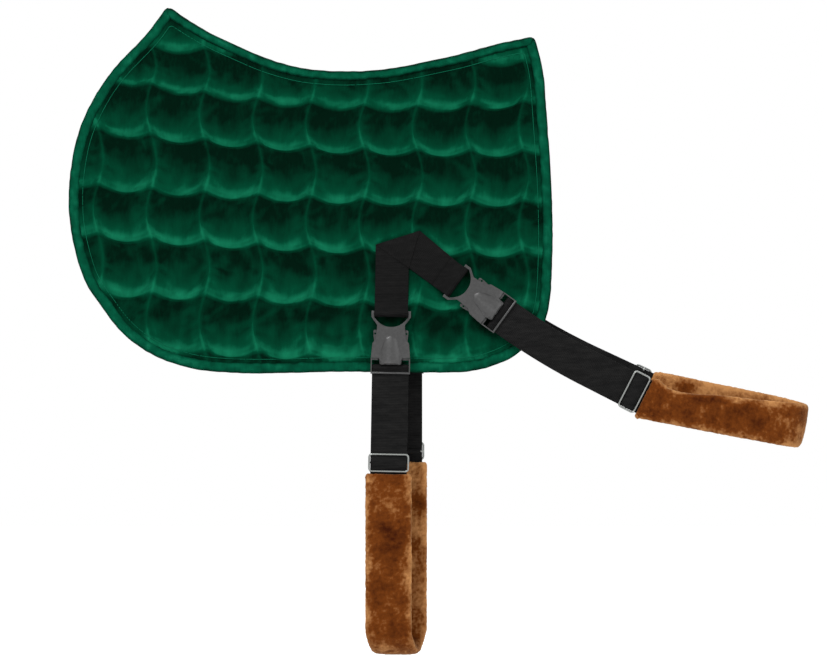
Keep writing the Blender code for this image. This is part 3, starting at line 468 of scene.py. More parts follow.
@dataclass(frozen=True)
class Velvet:
    """Crushed pile, coloured along a ramp by a number stored on the piece's points, which holds painted
    light, shade and sheen as well as random tone.
    """

    name: str
    dark: Colour = (0.0002, 0.0085, 0.0040)
    middle: Colour = (0.0004, 0.0570, 0.0260)
    light: Colour = (0.0070, 0.1950, 0.0960)
    streak: float = 0.18
    streak_scale: Scales = (330.0, 330.0, 80.0)
    cloud_scale: float = 45.0
    pile_scale: Scales = (900.0, 900.0, 420.0)
    bump: Bump = (0.25 * MM, 0.5)

    def material(self) -> Finish:
        """Makes the finish.

        Returns:
            The finish.
        """
        recipe = Recipe(self.name)
        recipe.fixed(Roughness=0.9, Specular_IOR_Level=0.02)
        streaks = recipe.lumps(recipe.object_place(self.streak_scale), 1.0, 3.0)
        clouds = recipe.lumps(recipe.object_place(), self.cloud_scale, 2.0)
        wander = recipe.maths("MULTIPLY", recipe.maths("SUBTRACT", streaks, 0.5), self.streak)
        drift = recipe.maths("MULTIPLY", recipe.maths("SUBTRACT", clouds, 0.5), self.streak)
        # The stored number brings painted light and shade, besides random tone
        shade = recipe.maths("ADD", recipe.attribute("nap"), recipe.maths("ADD", wander, drift))
        recipe.ramp(shade, [(0.0, self.dark), (0.5, self.middle), (1.0, self.light)])
        recipe.relief(recipe.lumps(recipe.object_place(self.pile_scale), 1.0, 2.0), *self.bump)
        return recipe.material


@dataclass(frozen=True)
class Lining:
    """Plain dark cotton on the inner side."""

    name: str = "lining_cotton"
    colour: Colour = (0.020, 0.022, 0.022)
    weave_scale: float = 900.0
    bump: Bump = (0.15 * MM, 0.5)

    def material(self) -> Finish:
        """Makes the finish.

        Returns:
            The finish.
        """
        recipe = Recipe(self.name)
        recipe.fixed(Base_Color=(*self.colour, 1.0), Roughness=0.9, Specular_IOR_Level=0.2)
        recipe.relief(recipe.lumps(recipe.object_place(), self.weave_scale, 2.0), *self.bump)
        return recipe.material


@dataclass(frozen=True)
class Webbing:
    """Ribbed weave that runs across the strap, on the piece's own map."""

    name: str = "black_webbing"
    dark: Colour = (0.0030, 0.0030, 0.0032)
    light: Colour = (0.0135, 0.0132, 0.0130)
    ribs_per_decimetre: float = 46.0
    yarns_per_decimetre: float = 60.0
    yarn_share: float = 0.35
    weave_share: float = 0.13
    patch_scale: Scales = (60.0, 60.0, 260.0)
    ramp_ends: Point = (0.25, 0.85)
    bump: Bump = (0.14 * MM, 0.8)

    def material(self) -> Finish:
        """Makes the finish.

        Returns:
            The finish.
        """
        recipe = Recipe(self.name)
        recipe.fixed(Roughness=0.8, Specular_IOR_Level=0.10)
        across, along = recipe.cloth_place()
        turn = 2 * math.pi
        rib = recipe.maths("SINE", recipe.maths("MULTIPLY", along, turn * self.ribs_per_decimetre))
        yarn = recipe.maths("SINE", recipe.maths("MULTIPLY", across, turn * self.yarns_per_decimetre))
        weave = recipe.maths("ADD", rib, recipe.maths("MULTIPLY", yarn, self.yarn_share))
        patches = recipe.lumps(recipe.object_place(self.patch_scale), 1.0, 3.0)
        shade = recipe.maths("ADD", recipe.maths("MULTIPLY", weave, self.weave_share), patches)
        recipe.ramp(shade, list(zip(self.ramp_ends, (self.dark, self.light))))
        recipe.relief(weave, *self.bump)
        return recipe.material


@dataclass(frozen=True)
class MouldedPlastic:
    """Grey moulded plastic with a fine spark-eroded skin, darkened by painted shade and lightened by a
    painted highlight where a piece stores them.
    """

    name: str = "grey_plastic"
    colour: Colour = (0.041, 0.041, 0.041)
    roughness: float = 0.36
    mottle_scale: float = 300.0
    tones: tuple[Point, ...] = ((0.0, 0.35), (0.3, 0.8), (0.7, 1.2), (1.0, 1.7))
    grain_scale: float = 1500.0
    bump: Bump = (0.05 * MM, 0.4)

    def material(self) -> Finish:
        """Makes the finish.

        Returns:
            The finish.
        """
        recipe = Recipe(self.name)
        recipe.fixed(Roughness=self.roughness, Specular_IOR_Level=0.45)
        mottle = recipe.lumps(recipe.object_place(), self.mottle_scale, 3.0)
        # Painted shade and highlight, stored on the thumb dome's points, shift the mottle darker or lighter
        tone = recipe.maths("SUBTRACT", mottle, recipe.attribute("groove"))
        recipe.ramp(tone, [(at, tuple(share * part for part in self.colour)) for at, share in self.tones])
        recipe.relief(recipe.lumps(recipe.object_place(), self.grain_scale, 2.0), *self.bump)
        return recipe.material


@dataclass(frozen=True)
class Steel:
    """Plated wire."""

    name: str = "plated_wire"
    colour: Colour = (0.24, 0.25, 0.24)
    scratch_scale: float = 700.0
    bump: Bump = (0.05 * MM, 0.3)

    def material(self) -> Finish:
        """Makes the finish.

        Returns:
            The finish.
        """
        recipe = Recipe(self.name)
        recipe.fixed(Base_Color=(*self.colour, 1.0), Metallic=1.0, Roughness=0.32)
        recipe.relief(recipe.lumps(recipe.object_place(), self.scratch_scale, 2.0), *self.bump)
        return recipe.material


@dataclass(frozen=True)
class Fleece:
    """Short mottled pile, coloured along a ramp by a number stored on its points: lighter where its tufts
    stand out, with painted sheen along the long edges, painted light on the far leg's inner face and painted
    shade in the seam.
    """

    name: str = "ginger_fleece"
    dark: Colour = (0.046, 0.0065, 0.0003)
    middle: Colour = (0.168, 0.0410, 0.0048)
    light: Colour = (0.580, 0.270, 0.0950)
    cloud_scale: float = 27.0
    cloud_contrast: float = 1.5
    tuft_scale: float = 240.0
    tuft_contrast: float = 0.55
    hair_scale: float = 900.0
    bump: Bump = (1.2 * MM, 0.7)

    def material(self) -> Finish:
        """Makes the finish.

        Returns:
            The finish.
        """
        recipe = Recipe(self.name)
        recipe.fixed(Roughness=1.0, Specular_IOR_Level=0.05, Sheen_Weight=0.40, Sheen_Roughness=0.45,
                     Sheen_Tint=(1.0, 0.66, 0.36, 1.0))
        clouds = recipe.lumps(recipe.object_place(), self.cloud_scale, 3.0)
        tufts = recipe.lumps(recipe.object_place(), self.tuft_scale, 3.0)
        mottle = recipe.maths("MULTIPLY", recipe.maths("SUBTRACT", clouds, 0.5), self.cloud_contrast)
        fibre = recipe.maths("MULTIPLY", recipe.maths("SUBTRACT", tufts, 0.5), self.tuft_contrast)
        # The stored number holds random tone with painted sheen, light and shade
        shade = recipe.maths("ADD", recipe.attribute("nap"), recipe.maths("ADD", mottle, fibre))
        recipe.ramp(shade, [(0.0, self.dark), (0.5, self.middle), (1.0, self.light)])
        hairs = recipe.lumps(recipe.object_place(), self.hair_scale, 2.0)
        recipe.relief(recipe.maths("ADD", tufts, hairs), *self.bump)
        return recipe.material


@dataclass(frozen=True)
class PaleFloor:
    """White floor below the reach of every pose, plain white to the camera."""

    name: str = "pale_floor"
    colour: Colour = (0.90, 0.90, 0.90)
    glow: float = 0.60

    def material(self) -> Finish:
        """Makes the finish.

        Returns:
            The finish.
        """
        recipe = Recipe(self.name)
        recipe.fixed(Base_Color=(*self.colour, 1.0), Roughness=0.9, Specular_IOR_Level=0.0,
                     Emission_Color=(1.0, 1.0, 1.0, 1.0))
        path = recipe.node("ShaderNodeLightPath")
        seen = recipe.maths("MAXIMUM", path.outputs["Is Camera Ray"], path.outputs["Is Glossy Ray"])
        seen = recipe.maths("MAXIMUM", seen, path.outputs["Is Transmission Ray"])
        recipe.links.new(recipe.maths("MULTIPLY", seen, self.glow), recipe.shader.inputs["Emission Strength"])
        return recipe.material


def smooth_run(points: Sequence[Vector], steps: int) -> list[Vector]:
    """Points on a smooth curve through the given ones.

    Args:
        points: Places in the flap's plane.
        steps: Stretches between two neighbours.

    Returns:
        The finer row of points.
    """
    padded = [2 * points[0] - points[1], *points, 2 * points[-1] - points[-2]]
    run = []
    for i in range(1, len(padded) - 2):
        a, b, c, d = padded[i - 1:i + 3]
        for k in range(steps):
            t = k / steps
            run.append(0.5 * (2 * b + (c - a) * t + (2 * a - 5 * b + 4 * c - d) * t ** 2
                              + (3 * b - a - 3 * c + d) * t ** 3))
    return [*run, points[-1]]


def rounded_corner(before: Vector, corner: Vector, after: Vector, radius: float,
                   steps: int = 10) -> tuple[list[Vector], float]:
    """An arc in place of the pad's sharp tip.

    Args:
        before: A point on the edge that comes in.
        corner: The sharp tip.
        after: A point on the edge that goes out.
        radius: Radius of the arc.
        steps: Stretches of the arc.

    Returns:
        The arc's points, and how far from the tip it starts.
    """
    into = (before - corner).normalized()
    out = (after - corner).normalized()
    half = into.angle(out) / 2
    reach = radius / math.tan(half)
    centre = corner + (into + out).normalized() * (radius / math.sin(half))
    first = corner + into * reach - centre
    turn = first.angle_signed(corner + out * reach - centre)
    return [centre + Matrix.Rotation(-turn * k / steps, 2) @ first for k in range(steps + 1)], reach


def lengths_along(line: np.ndarray) -> np.ndarray:
    """How far along a line each of its points lies."""
    return np.concatenate([[0.0], np.cumsum(np.linalg.norm(np.diff(line, axis=0), axis=1))])


def in_plane(flat: np.ndarray, depth: float = 0.0) -> np.ndarray:
    """Places or directions from X and Z, at one Y."""
    return np.stack([flat[:, 0], np.full(len(flat), depth), flat[:, 1]], axis=1)


def evenly(points: np.ndarray, spacing: float, closed: bool) -> np.ndarray:
    """A line's points again, at even distances along it.

    Args:
        points: The line's corners, one row each.
        spacing: Distance aimed at between neighbours.
        closed: Whether the last point joins the first.

    Returns:
        The new points. A closed line's first point isn't repeated.
    """
    line = np.vstack([points, points[:1]]) if closed else points
    reached = lengths_along(line)
    count = max(2, round(reached[-1] / spacing))
    wanted = np.linspace(0.0, reached[-1], count + 1)
    if closed:
        wanted = wanted[:-1]
    return np.stack([np.interp(wanted, reached, line[:, k]) for k in range(line.shape[1])], axis=1)


class Outline:
    """A closed line in the flap's plane, clockwise, as X and Z."""

    def __init__(self, points: np.ndarray) -> None:
        """Keeps the points, one row each."""
        self.points = points

    def inset(self, distance: float) -> "Outline":
        """The line moved inwards by a distance.

        Args:
            distance: How far each edge moves, in metres.

        Returns:
            The new line.
        """
        before = self.points - np.roll(self.points, 1, axis=0)
        after = np.roll(self.points, -1, axis=0) - self.points
        before /= np.linalg.norm(before, axis=1, keepdims=True)
        after /= np.linalg.norm(after, axis=1, keepdims=True)
        tangent = before + after
        tangent /= np.linalg.norm(tangent, axis=1, keepdims=True)
        normal = np.stack([tangent[:, 1], -tangent[:, 0]], axis=1)
        stretch = np.maximum(0.5, normal[:, 0] * after[:, 1] - normal[:, 1] * after[:, 0])
        return Outline(self.points + normal * distance / stretch[:, None])

    def holds(self, places: np.ndarray) -> np.ndarray:
        """Which places lie inside the line.

        Args:
            places: A row of x and z for each place.

        Returns:
            True for each place inside.
        """
        inside = np.zeros(len(places), bool)
        for (ax, az), (bx, bz) in zip(self.points, np.roll(self.points, -1, axis=0)):
            if az == bz:
                continue
            spans = (az > places[:, 1]) != (bz > places[:, 1])
            inside ^= spans & (places[:, 0] < ax + (places[:, 1] - az) * (bx - ax) / (bz - az))
        return inside

    def nearest(self, places: np.ndarray) -> tuple[np.ndarray, np.ndarray]:
        """The nearest point of the line to each place, and how far it is.

        Args:
            places: A row of x and z for each place.

        Returns:
            The nearest points and the distances.
        """
        best = np.full(len(places), 1e9)
        found = np.zeros_like(places)
        for start, end in zip(self.points, np.roll(self.points, -1, axis=0)):
            way = end - start
            share = np.clip(((places - start) @ way) / (way @ way), 0.0, 1.0)
            near = start + share[:, None] * way
            gap = np.linalg.norm(places - near, axis=1)
            closer = gap < best
            best[closer] = gap[closer]
            found[closer] = near[closer]
        return found, best


def pad_lines(radius: float) -> tuple[np.ndarray, np.ndarray]:
    """The pad's top edge and its rear, lower and front edge, each from the middle of one tip to the other's.

    Args:
        radius: Radius of the tips.

    Returns:
        The two lines.
    """
    def placed(row: Sequence[Point]) -> list[Vector]:
        """Outline points as places."""
        return [Vector((x * MM, z * MM + SPINE_TOP)) for x, z in row]

    steps = OUTLINE_STEPS
    top = smooth_run(placed(TOP_EDGE_MM), steps)
    rest = smooth_run(placed([TOP_EDGE_MM[-1], *REAR_EDGE_MM, TOP_EDGE_MM[0]]), steps)
    wither, cantle = top[0], top[-1]
    wither_arc, wither_reach = rounded_corner(rest[-1 - steps], wither, top[steps], radius)
    cantle_arc, cantle_reach = rounded_corner(top[-1 - steps], cantle, rest[steps], radius)

    def clear(row: list[Vector]) -> list[Vector]:
        """The points of an edge that the tips' arcs leave."""
        row = [p for p in row if (p - wither).length > wither_reach + TIP_CLEARANCE]
        return [p for p in row if (p - cantle).length > cantle_reach + TIP_CLEARANCE]

    middle = len(wither_arc) // 2
    top_line = [*wither_arc[middle:], *clear(top), *cantle_arc[:middle + 1]]
    rest_line = [*cantle_arc[middle:], *clear(rest), *wither_arc[:middle + 1]]
    return np.array(top_line), np.array(rest_line)


def pad_outline(radius: float) -> Outline:
    """The pad's closed outline, with tips of a radius."""
    top, rest = pad_lines(radius)
    return Outline(evenly(np.vstack([top[:-1], rest[:-1]]), OUTLINE_SPACING, True))


TOP_LINE, REST_LINE = pad_lines(ROLL_TIP_RADIUS)
PAD = pad_outline(TIP_RADIUS)
STITCH_PAD = pad_outline(STITCH_TIP_RADIUS)


class BandFrame:
    """Directions of a strap that lies along a flap: along it, outwards from the flap, and across it."""

    def __init__(self, x: float, z: float, degrees: float, side: Side) -> None:
        """Places the frame.

        Args:
            x: Place of its zero along the horse.
            z: Place of its zero, upwards.
            degrees: Angle of the strap below the tail's direction.
            side: Side of the horse.
        """
        angle = math.radians(degrees)
        self.side = side
        self.start = np.array([x, 0.0, z])
        self.way = np.array([math.cos(angle), 0.0, -math.sin(angle)])
        self.out = np.array([0.0, side.value, 0.0])
        self.across = np.cross(self.out, self.way)

    def at(self, along: np.ndarray, depth: np.ndarray, across: np.ndarray) -> np.ndarray:
        """Places at distances along, outwards and across.

        Args:
            along: Distances along the band.
            depth: Distances outwards.
            across: Distances across the band.

        Returns:
            A row of x, y and z for each place.
        """
        along, depth, across = np.broadcast_arrays(along, depth, across)
        return (self.start + along[..., None] * self.way + depth[..., None] * self.out
                + across[..., None] * self.across)


def soft_box(half_width: float, half_thick: float, corner: float, steps: int = 4) -> np.ndarray:
    """A rectangle with rounded corners.

    Args:
        half_width: Half its width.
        half_thick: Half its thickness.
        corner: Radius of its corners.
        steps: Stretches of each corner.

    Returns:
        Its points, one row each.
    """
    points = []
    for turn, (sx, sy) in enumerate(((1, 1), (-1, 1), (-1, -1), (1, -1))):
        for k in range(steps + 1):
            angle = math.pi / 2 * (turn + k / steps)
            points.append((sx * (half_width - corner) + corner * math.cos(angle),
                           sy * (half_thick - corner) + corner * math.sin(angle)))
    return np.array(points)


def oval(half_width: float, half_thick: float, count: int, squareness: float = 1.0) -> np.ndarray:
    """An oval section, fuller at its corners the lower its squareness.

    Args:
        half_width: Half its width.
        half_thick: Half its thickness.
        count: Number of points.
        squareness: 1 for an ellipse.

    Returns:
        A row of width and thickness for each point.
    """
    angle = 2 * math.pi * (np.arange(count) + 0.5) / count
    across, through = np.cos(angle), np.sin(angle)
    return np.stack([np.sign(across) * np.abs(across) ** squareness * half_width,
                     np.sign(through) * np.abs(through) ** squareness * half_thick], axis=1)


def sweep(name: str, centres: np.ndarray, wide: np.ndarray, thick: np.ndarray, section: np.ndarray,
          closed: bool = False) -> Piece:
    """Rolls a sheet round a row of frames.

    Args:
        name: Name of the piece.
        centres: Middle of each frame.
        wide: Each frame's direction for the section's first number.
        thick: Each frame's direction for the section's second number.
        section: One section, or one a frame.
        closed: Whether the last frame joins the first.

    Returns:
        The piece, closed, with its own map across and along.
    """
    rows = len(centres)
    sections = section if section.ndim == 3 else np.repeat(section[None], rows, axis=0)
    count = sections.shape[1]
    stretches = rows if closed else rows - 1
    item, column, row = grid_sheet(name, count, stretches)
    spread = (centres[:, None] + sections[..., :1] * wide[:, None] + sections[..., 1:] * thick[:, None])
    reached = lengths_along(centres)
    if closed:
        reached = np.append(reached, reached[-1] + np.linalg.norm(centres[0] - centres[-1]))
    move_points(item, spread[row % rows, column % count])
    set_cloth_map(item, sections[row % rows, column % count, 0], reached[row])
    clean_up(item)
    return item


def flat_frames(line: np.ndarray, closed: bool = False) -> tuple[np.ndarray, np.ndarray]:
    """Tangents and the normals to the right of a flat line, one row each.

    Args:
        line: The line's points, as two numbers each.
        closed: Whether the last point joins the first.

    Returns:
        The tangents and the normals.
    """
    if closed:
        tangent = np.roll(line, -1, axis=0) - np.roll(line, 1, axis=0)
    else:
        tangent = np.gradient(line, axis=0)
    tangent = tangent / np.linalg.norm(tangent, axis=1, keepdims=True)
    return tangent, np.stack([tangent[:, 1], -tangent[:, 0]], axis=1)


def ribbon(name: str, base: BandFrame, side_view: Sequence[Point], width: float, thickness: float,
           slants: tuple[float, float] = (0.0, 0.0), spacing: float = 2 * MM) -> Piece:
    """A strap that follows a line drawn from its edge: distance along the frame, and depth.

    Args:
        name: Name of the piece.
        base: The frame that it lies in.
        side_view: Corners of its middle line, as distance along and depth.
        width: Width of the strap.
        thickness: Thickness of the strap.
        slants: Shift of the first and last end along the strap, for each unit across.
        spacing: Distance between its sections.

    Returns:
        The strap.
    """
    line = evenly(np.array(side_view), spacing, False)
    tangent, normal = flat_frames(line)
    share = np.linspace(0.0, 1.0, len(line))
    section = soft_box(width / 2, thickness / 2, 0.42 * thickness, 2)
    across = np.repeat(section[None, :, 0], len(line), axis=0)
    shift = across * (slants[0] * (1 - share) + slants[1] * share)[:, None]
    along = line[:, :1] + normal[:, :1] * section[None, :, 1] + tangent[:, :1] * shift
    depth = line[:, 1:] + normal[:, 1:] * section[None, :, 1] + tangent[:, 1:] * shift
    item, column, row = grid_sheet(name, len(section), len(line) - 1)
    column = column % len(section)
    places = base.at(along, depth, across)
    reached = lengths_along(line)
    move_points(item, places[row, column])
    set_cloth_map(item, across[row, column], reached[row] + shift[row, column])
    clean_up(item)
    return item


def arc(centre: Point, radius: float, first: float, last: float, steps: int = 12) -> list[Point]:
    """Points on an arc between two angles in degrees."""
    turns = [math.radians(first + (last - first) * k / steps) for k in range(steps + 1)]
    return [(centre[0] + radius * math.cos(turn), centre[1] + radius * math.sin(turn)) for turn in turns]


def snap_rim(item: Piece, rim: Outline) -> None:
    """Moves the points on a sheet's edge onto a line.

    Args:
        item: The sheet.
        rim: The line that its edge follows.
    """
    pick(item)
    bpy.ops.object.mode_set(mode="EDIT")
    bpy.ops.mesh.select_all(action="DESELECT")
    bpy.ops.mesh.select_non_manifold(extend=False)
    bpy.ops.object.mode_set(mode="OBJECT")
    edge = np.zeros(len(item.data.vertices), bool)
    item.data.vertices.foreach_get("select", edge)
    places = points_of(item)
    flat = places[:, [0, 2]]
    flat[edge] = rim.nearest(flat[edge])[0]
    places[:, [0, 2]] = flat
    move_points(item, places)


def trim(item: Piece, flat: np.ndarray, rim: Outline) -> None:
    """Cuts a sheet along a line.

    Args:
        item: The sheet.
        flat: Its points' X and Z.
        rim: The line that it is cut along.
    """
    select_points(item, ~rim.holds(flat))
    bpy.ops.object.mode_set(mode="EDIT")
    bpy.ops.mesh.delete(type="VERT")
    bpy.ops.object.mode_set(mode="OBJECT")
    snap_rim(item, rim)


@dataclass
class Quilting:
    """The quilted velvet of one side, from the spine to the hem, puffed up between its stitches."""

    pitch_x: float = 70.9 * MM
    first_x: float = -400.0 * MM
    levels_mm: tuple[float, ...] = (112.0, 39.5, -24.0, -84.0, -152.6, -218.4, -289.2, -363.0, -432.0, -500.0)
    slopes: tuple[float, ...] = (0.04, 0.04, 0.10, 0.067, 0.048, 0.05, 0.04, 0.04, 0.04, 0.04)
    bends: tuple[float, ...] = (0.0, 0.0, 0.25, 0.11, 0.07, 0.06, 0.0, 0.0, 0.0, 0.0)
    level_x: float = -115.0 * MM
    columns: int = 10
    steps: int = 22
    sag: float = 9.0 * MM
    bow: float = 6.5 * MM
    crown: float = 5.0 * MM
    fullness: float = 0.6
    rim_inset: float = 12.0 * MM
    rim_hold: float = 3.0 * MM
    rim_rise: float = 20.0 * MM
    border_inset: float = 19.5 * MM
    stitch_reach: float = 0.45
    pressure: float = 4.0
    stiffness: float = 0.05
    quality: int = 5
    spare_cloth: float = 0.05
    frames: int = 20
    highest: float = 20.3 * MM
    under_strap: float = 14.9 * MM
    strap_margin: float = 1.5 * MM
    strap_ramp: float = 7.0 * MM
    under_buckle: float = 18.0 * MM
    buckle_reach: Point = (-6.0 * MM, 84.0 * MM)
    buckle_half_width: float = 29.0 * MM
    buckle_ramp: float = 10.0 * MM
    cloth: float = 1.5 * MM
    deepest: float = SEAM_DEPTH - 1.0 * MM
    # Shade of the velvet: painted light, shade and sheen, lighter seam lines and random patches
    seam_half_width: float = 2.6 * MM
    row_half_width: float = 0.022
    low_band: Point = (0.88, 0.085)
    fall_at: tuple[float, ...] = (0.0, 0.05, 0.30, 0.62, 0.86, 0.95, 1.0)
    fall: tuple[float, ...] = (0.12, 0.02, 0.05, 0.22, 0.44, 0.46, 0.24)
    crush_size: float = 11.0 * MM
    patch_size: float = 60.0 * MM
    lower_from: float = 20.0 * MM
    lower_over: float = 360.0 * MM
    plain_shade: float = -0.04
    column_shade: float = 0.24
    row_shade: float = 0.14
    lower_shade: float = 0.13
    patch_shade: float = 0.10
    lean_up: float = -0.40
    lean_along: float = 0.14

    def sheet(self, name: str) -> tuple[Piece, np.ndarray]:
        """The flat sheet cut to the pad, with its points warped onto the quilting's lines.

        Args:
            name: Name of the piece.

        Returns:
            The sheet, and its points' column and row of cells as a fraction.
        """
        rows = len(self.levels_mm) - 1
        item, column, row = grid_sheet(name, self.columns * self.steps, rows * self.steps)
        u = column / self.steps
        v = rows - row / self.steps
        x = self.first_x + self.pitch_x * u - self.bow * np.sin(math.pi * v)
        seams = (self.levels_mm, self.slopes, self.bends)
        level, slope, bend = (np.interp(v, range(rows + 1), values) for values in seams)
        past = x - self.level_x
        z = level * MM - slope * past + bend * past ** 2 - self.sag * np.abs(np.sin(math.pi * u))
        move_points(item, np.stack([x, np.full_like(x, -SEAM_DEPTH), z], axis=1))
        for key, values in (("cell_u", u), ("cell_v", v)):
            set_shade(item, values, key)
        trim(item, np.stack([x, z], axis=1), PAD.inset(self.rim_inset))
        cells = np.zeros((2, len(item.data.vertices)), np.float32)
        for key, values in zip(("cell_u", "cell_v"), cells):
            item.data.attributes[key].data.foreach_get("value", values)
        return item, cells.T

    def stitched(self, item: Piece, cells: np.ndarray) -> np.ndarray:
        """Which points the stitches hold down.

        Args:
            item: The flat sheet.
            cells: Its points in cells across and down.

        Returns:
            True for each point that is held.
        """
        off_line = np.abs(cells - np.rint(cells)) * self.steps
        flat = points_of(item)[:, [0, 2]]
        rim_gap = PAD.nearest(flat)[1]
        border_gap = STITCH_PAD.inset(self.border_inset).nearest(flat)[1]
        border = border_gap < 0.5 * self.pitch_x / self.steps
        held = (off_line < self.stitch_reach).any(axis=1) & (rim_gap > self.border_inset)
        return held | border | (rim_gap < self.rim_inset + self.rim_hold)

    def puff(self, item: Piece, held: np.ndarray) -> None:
        """Swells the sheet between its stitches with a cloth simulation, and applies it.

        Args:
            item: The flat sheet.
            held: Which points stay where they are.
        """
        group = item.vertex_groups.new(name="stitches")
        group.add(np.flatnonzero(held).tolist(), 1.0, "REPLACE")
        pick(item)
        bpy.ops.object.modifier_add(type="CLOTH")
        cloth = item.modifiers[-1]
        settings = cloth.settings
        settings.vertex_group_mass = group.name
        settings.quality = self.quality
        settings.use_pressure = True
        settings.uniform_pressure_force = self.pressure
        settings.shrink_min = -self.spare_cloth
        settings.effector_weights.gravity = 0.0
        settings.bending_stiffness = self.stiffness
        cloth.collision_settings.use_collision = False
        cloth.point_cache.frame_start = 1
        cloth.point_cache.frame_end = self.frames
        for number in range(1, self.frames + 1):
            bpy.context.scene.frame_set(number)
        apply_modifiers(item)
        bpy.context.scene.frame_set(1)
        item.vertex_groups.clear()

    def pressed(self, depth: np.ndarray, flat: np.ndarray, strap: Outline,
                buckles: Sequence[BandFrame]) -> np.ndarray:
        """Depths with the velvet flattened under the strap and the buckles.

        Args:
            depth: Depths of the free swelling.
            flat: The points' X and Z.
            strap: Outline of the V strap.
            buckles: Frames of the side's buckles.

        Returns:
            The depths as they lie.
        """
        gap = np.where(strap.holds(flat), 0.0, strap.nearest(flat)[1])
        free = np.clip((gap - self.strap_margin) / self.strap_ramp, 0.0, 1.0)
        limit = self.under_strap + free * (self.highest - self.under_strap)
        first, last = self.buckle_reach
        for base in buckles:
            offset = in_plane(flat) - base.start
            along, across = offset @ base.way, np.abs(offset @ base.across)
            past = np.maximum(np.maximum(first - along, along - last), across - self.buckle_half_width)
            free = np.clip(past / self.buckle_ramp, 0.0, 1.0)
            limit = np.minimum(limit, self.under_buckle + free * (self.highest - self.under_buckle))
        return np.minimum(depth, limit)

    def shade(self, item: Piece, cells: np.ndarray, side: Side) -> np.ndarray:
        """How light the velvet is painted at each point: painted light and shade from how each puff slopes, a
        painted sheen band above each row's lower seam, lighter seam lines, painted light towards the bottom
        and random crushed patches.

        Args:
            item: The puffed sheet.
            cells: Its points' column and row of cells.
            side: Side of the horse.

        Returns:
            One number a point, from 0 to 1.
        """
        places = points_of(item)
        normal = point_normals(item)
        v = cells[:, 1] - np.floor(cells[:, 1])
        off_column = np.abs(cells[:, 0] - np.rint(cells[:, 0])) * self.pitch_x
        # Painted sheen: a bright band just above each row's lower seam
        band_at, band_width = self.low_band
        low_band = np.exp(-((v - band_at) / band_width) ** 2)
        # Lighter lines along the column seams: partly the stitches' thread, partly painted sheen on the
        # creases
        seam_light = np.exp(-(off_column / self.seam_half_width) ** 2)
        crush = grain(places * (1.0, 0.2, 0.55), self.crush_size, 2.0 + side.value)
        wide = grain(places, self.patch_size, 7.0 + side.value)
        middle = np.abs(np.sin(math.pi * cells[:, 0]))
        # Painted light and shade down each cell: dark under its upper seam, lighter towards its lower one
        fall = np.interp(v, self.fall_at, self.fall)
        # Painted light by which way the surface faces: darker where it faces up, lighter where it turns along
        # the horse
        painted_slope_light = self.lean_up * normal[:, 2] + self.lean_along * np.abs(normal[:, 0])
        # Lighter lines along the row seams: partly the stitches' thread, partly painted sheen
        row_light = np.exp(-(np.minimum(v, 1 - v) / self.row_half_width) ** 2)
        # Painted light: lighter towards the bottom of the flap
        lower = np.clip((self.lower_from - places[:, 2]) / self.lower_over, 0.0, 1.0)
        shade = self.plain_shade + fall + painted_slope_light + (0.04 + 0.20 * middle) * low_band
        shade += self.column_shade * seam_light + self.row_shade * row_light + self.lower_shade * lower
        shade += (0.09 + 0.10 * lower) * crush + self.patch_shade * wide
        return np.clip(shade, 0.0, 1.0)

    def build(self, side: Side, free: tuple[Piece, np.ndarray], strap: Outline,
              buckles: Sequence[BandFrame]) -> Piece:
        """One side's cover, made from the puffed sheet of the left one.

        Args:
            side: Side of the horse.
            free: The puffed sheet and its cells, at -Y.
            strap: Outline of the side's V strap.
            buckles: Frames of the side's buckles.

        Returns:
            The cover, with its thickness.
        """
        source, cells = free
        item = duplicate(source, f"{side.word}_quilted_velvet")
        places = points_of(item)
        depth = self.pressed(-places[:, 1], places[:, [0, 2]], strap, buckles)
        places[:, 1] = side.value * np.clip(depth, self.deepest, self.highest)
        move_points(item, places)
        pick(item)
        if side is Side.RIGHT:
            bpy.ops.object.mode_set(mode="EDIT")
            bpy.ops.mesh.select_all(action="SELECT")
            bpy.ops.mesh.flip_normals()
            bpy.ops.object.mode_set(mode="OBJECT")
        set_shade(item, self.shade(item, cells, side))
        thicken(item, self.cloth, -1.0)
        soften(item)
        return item


def free_quilting(quilting: Quilting) -> tuple[Piece, np.ndarray]:
    """The left side's puffed sheet, before anything lies on it, and its cells.

    Args:
        quilting: The seams and how they are puffed.

    Returns:
        The sheet, and its points in cells across and down.
    """
    item, cells = quilting.sheet("free_quilting")
    held = quilting.stitched(item, cells)
    quilting.puff(item, held)
    return item, cells


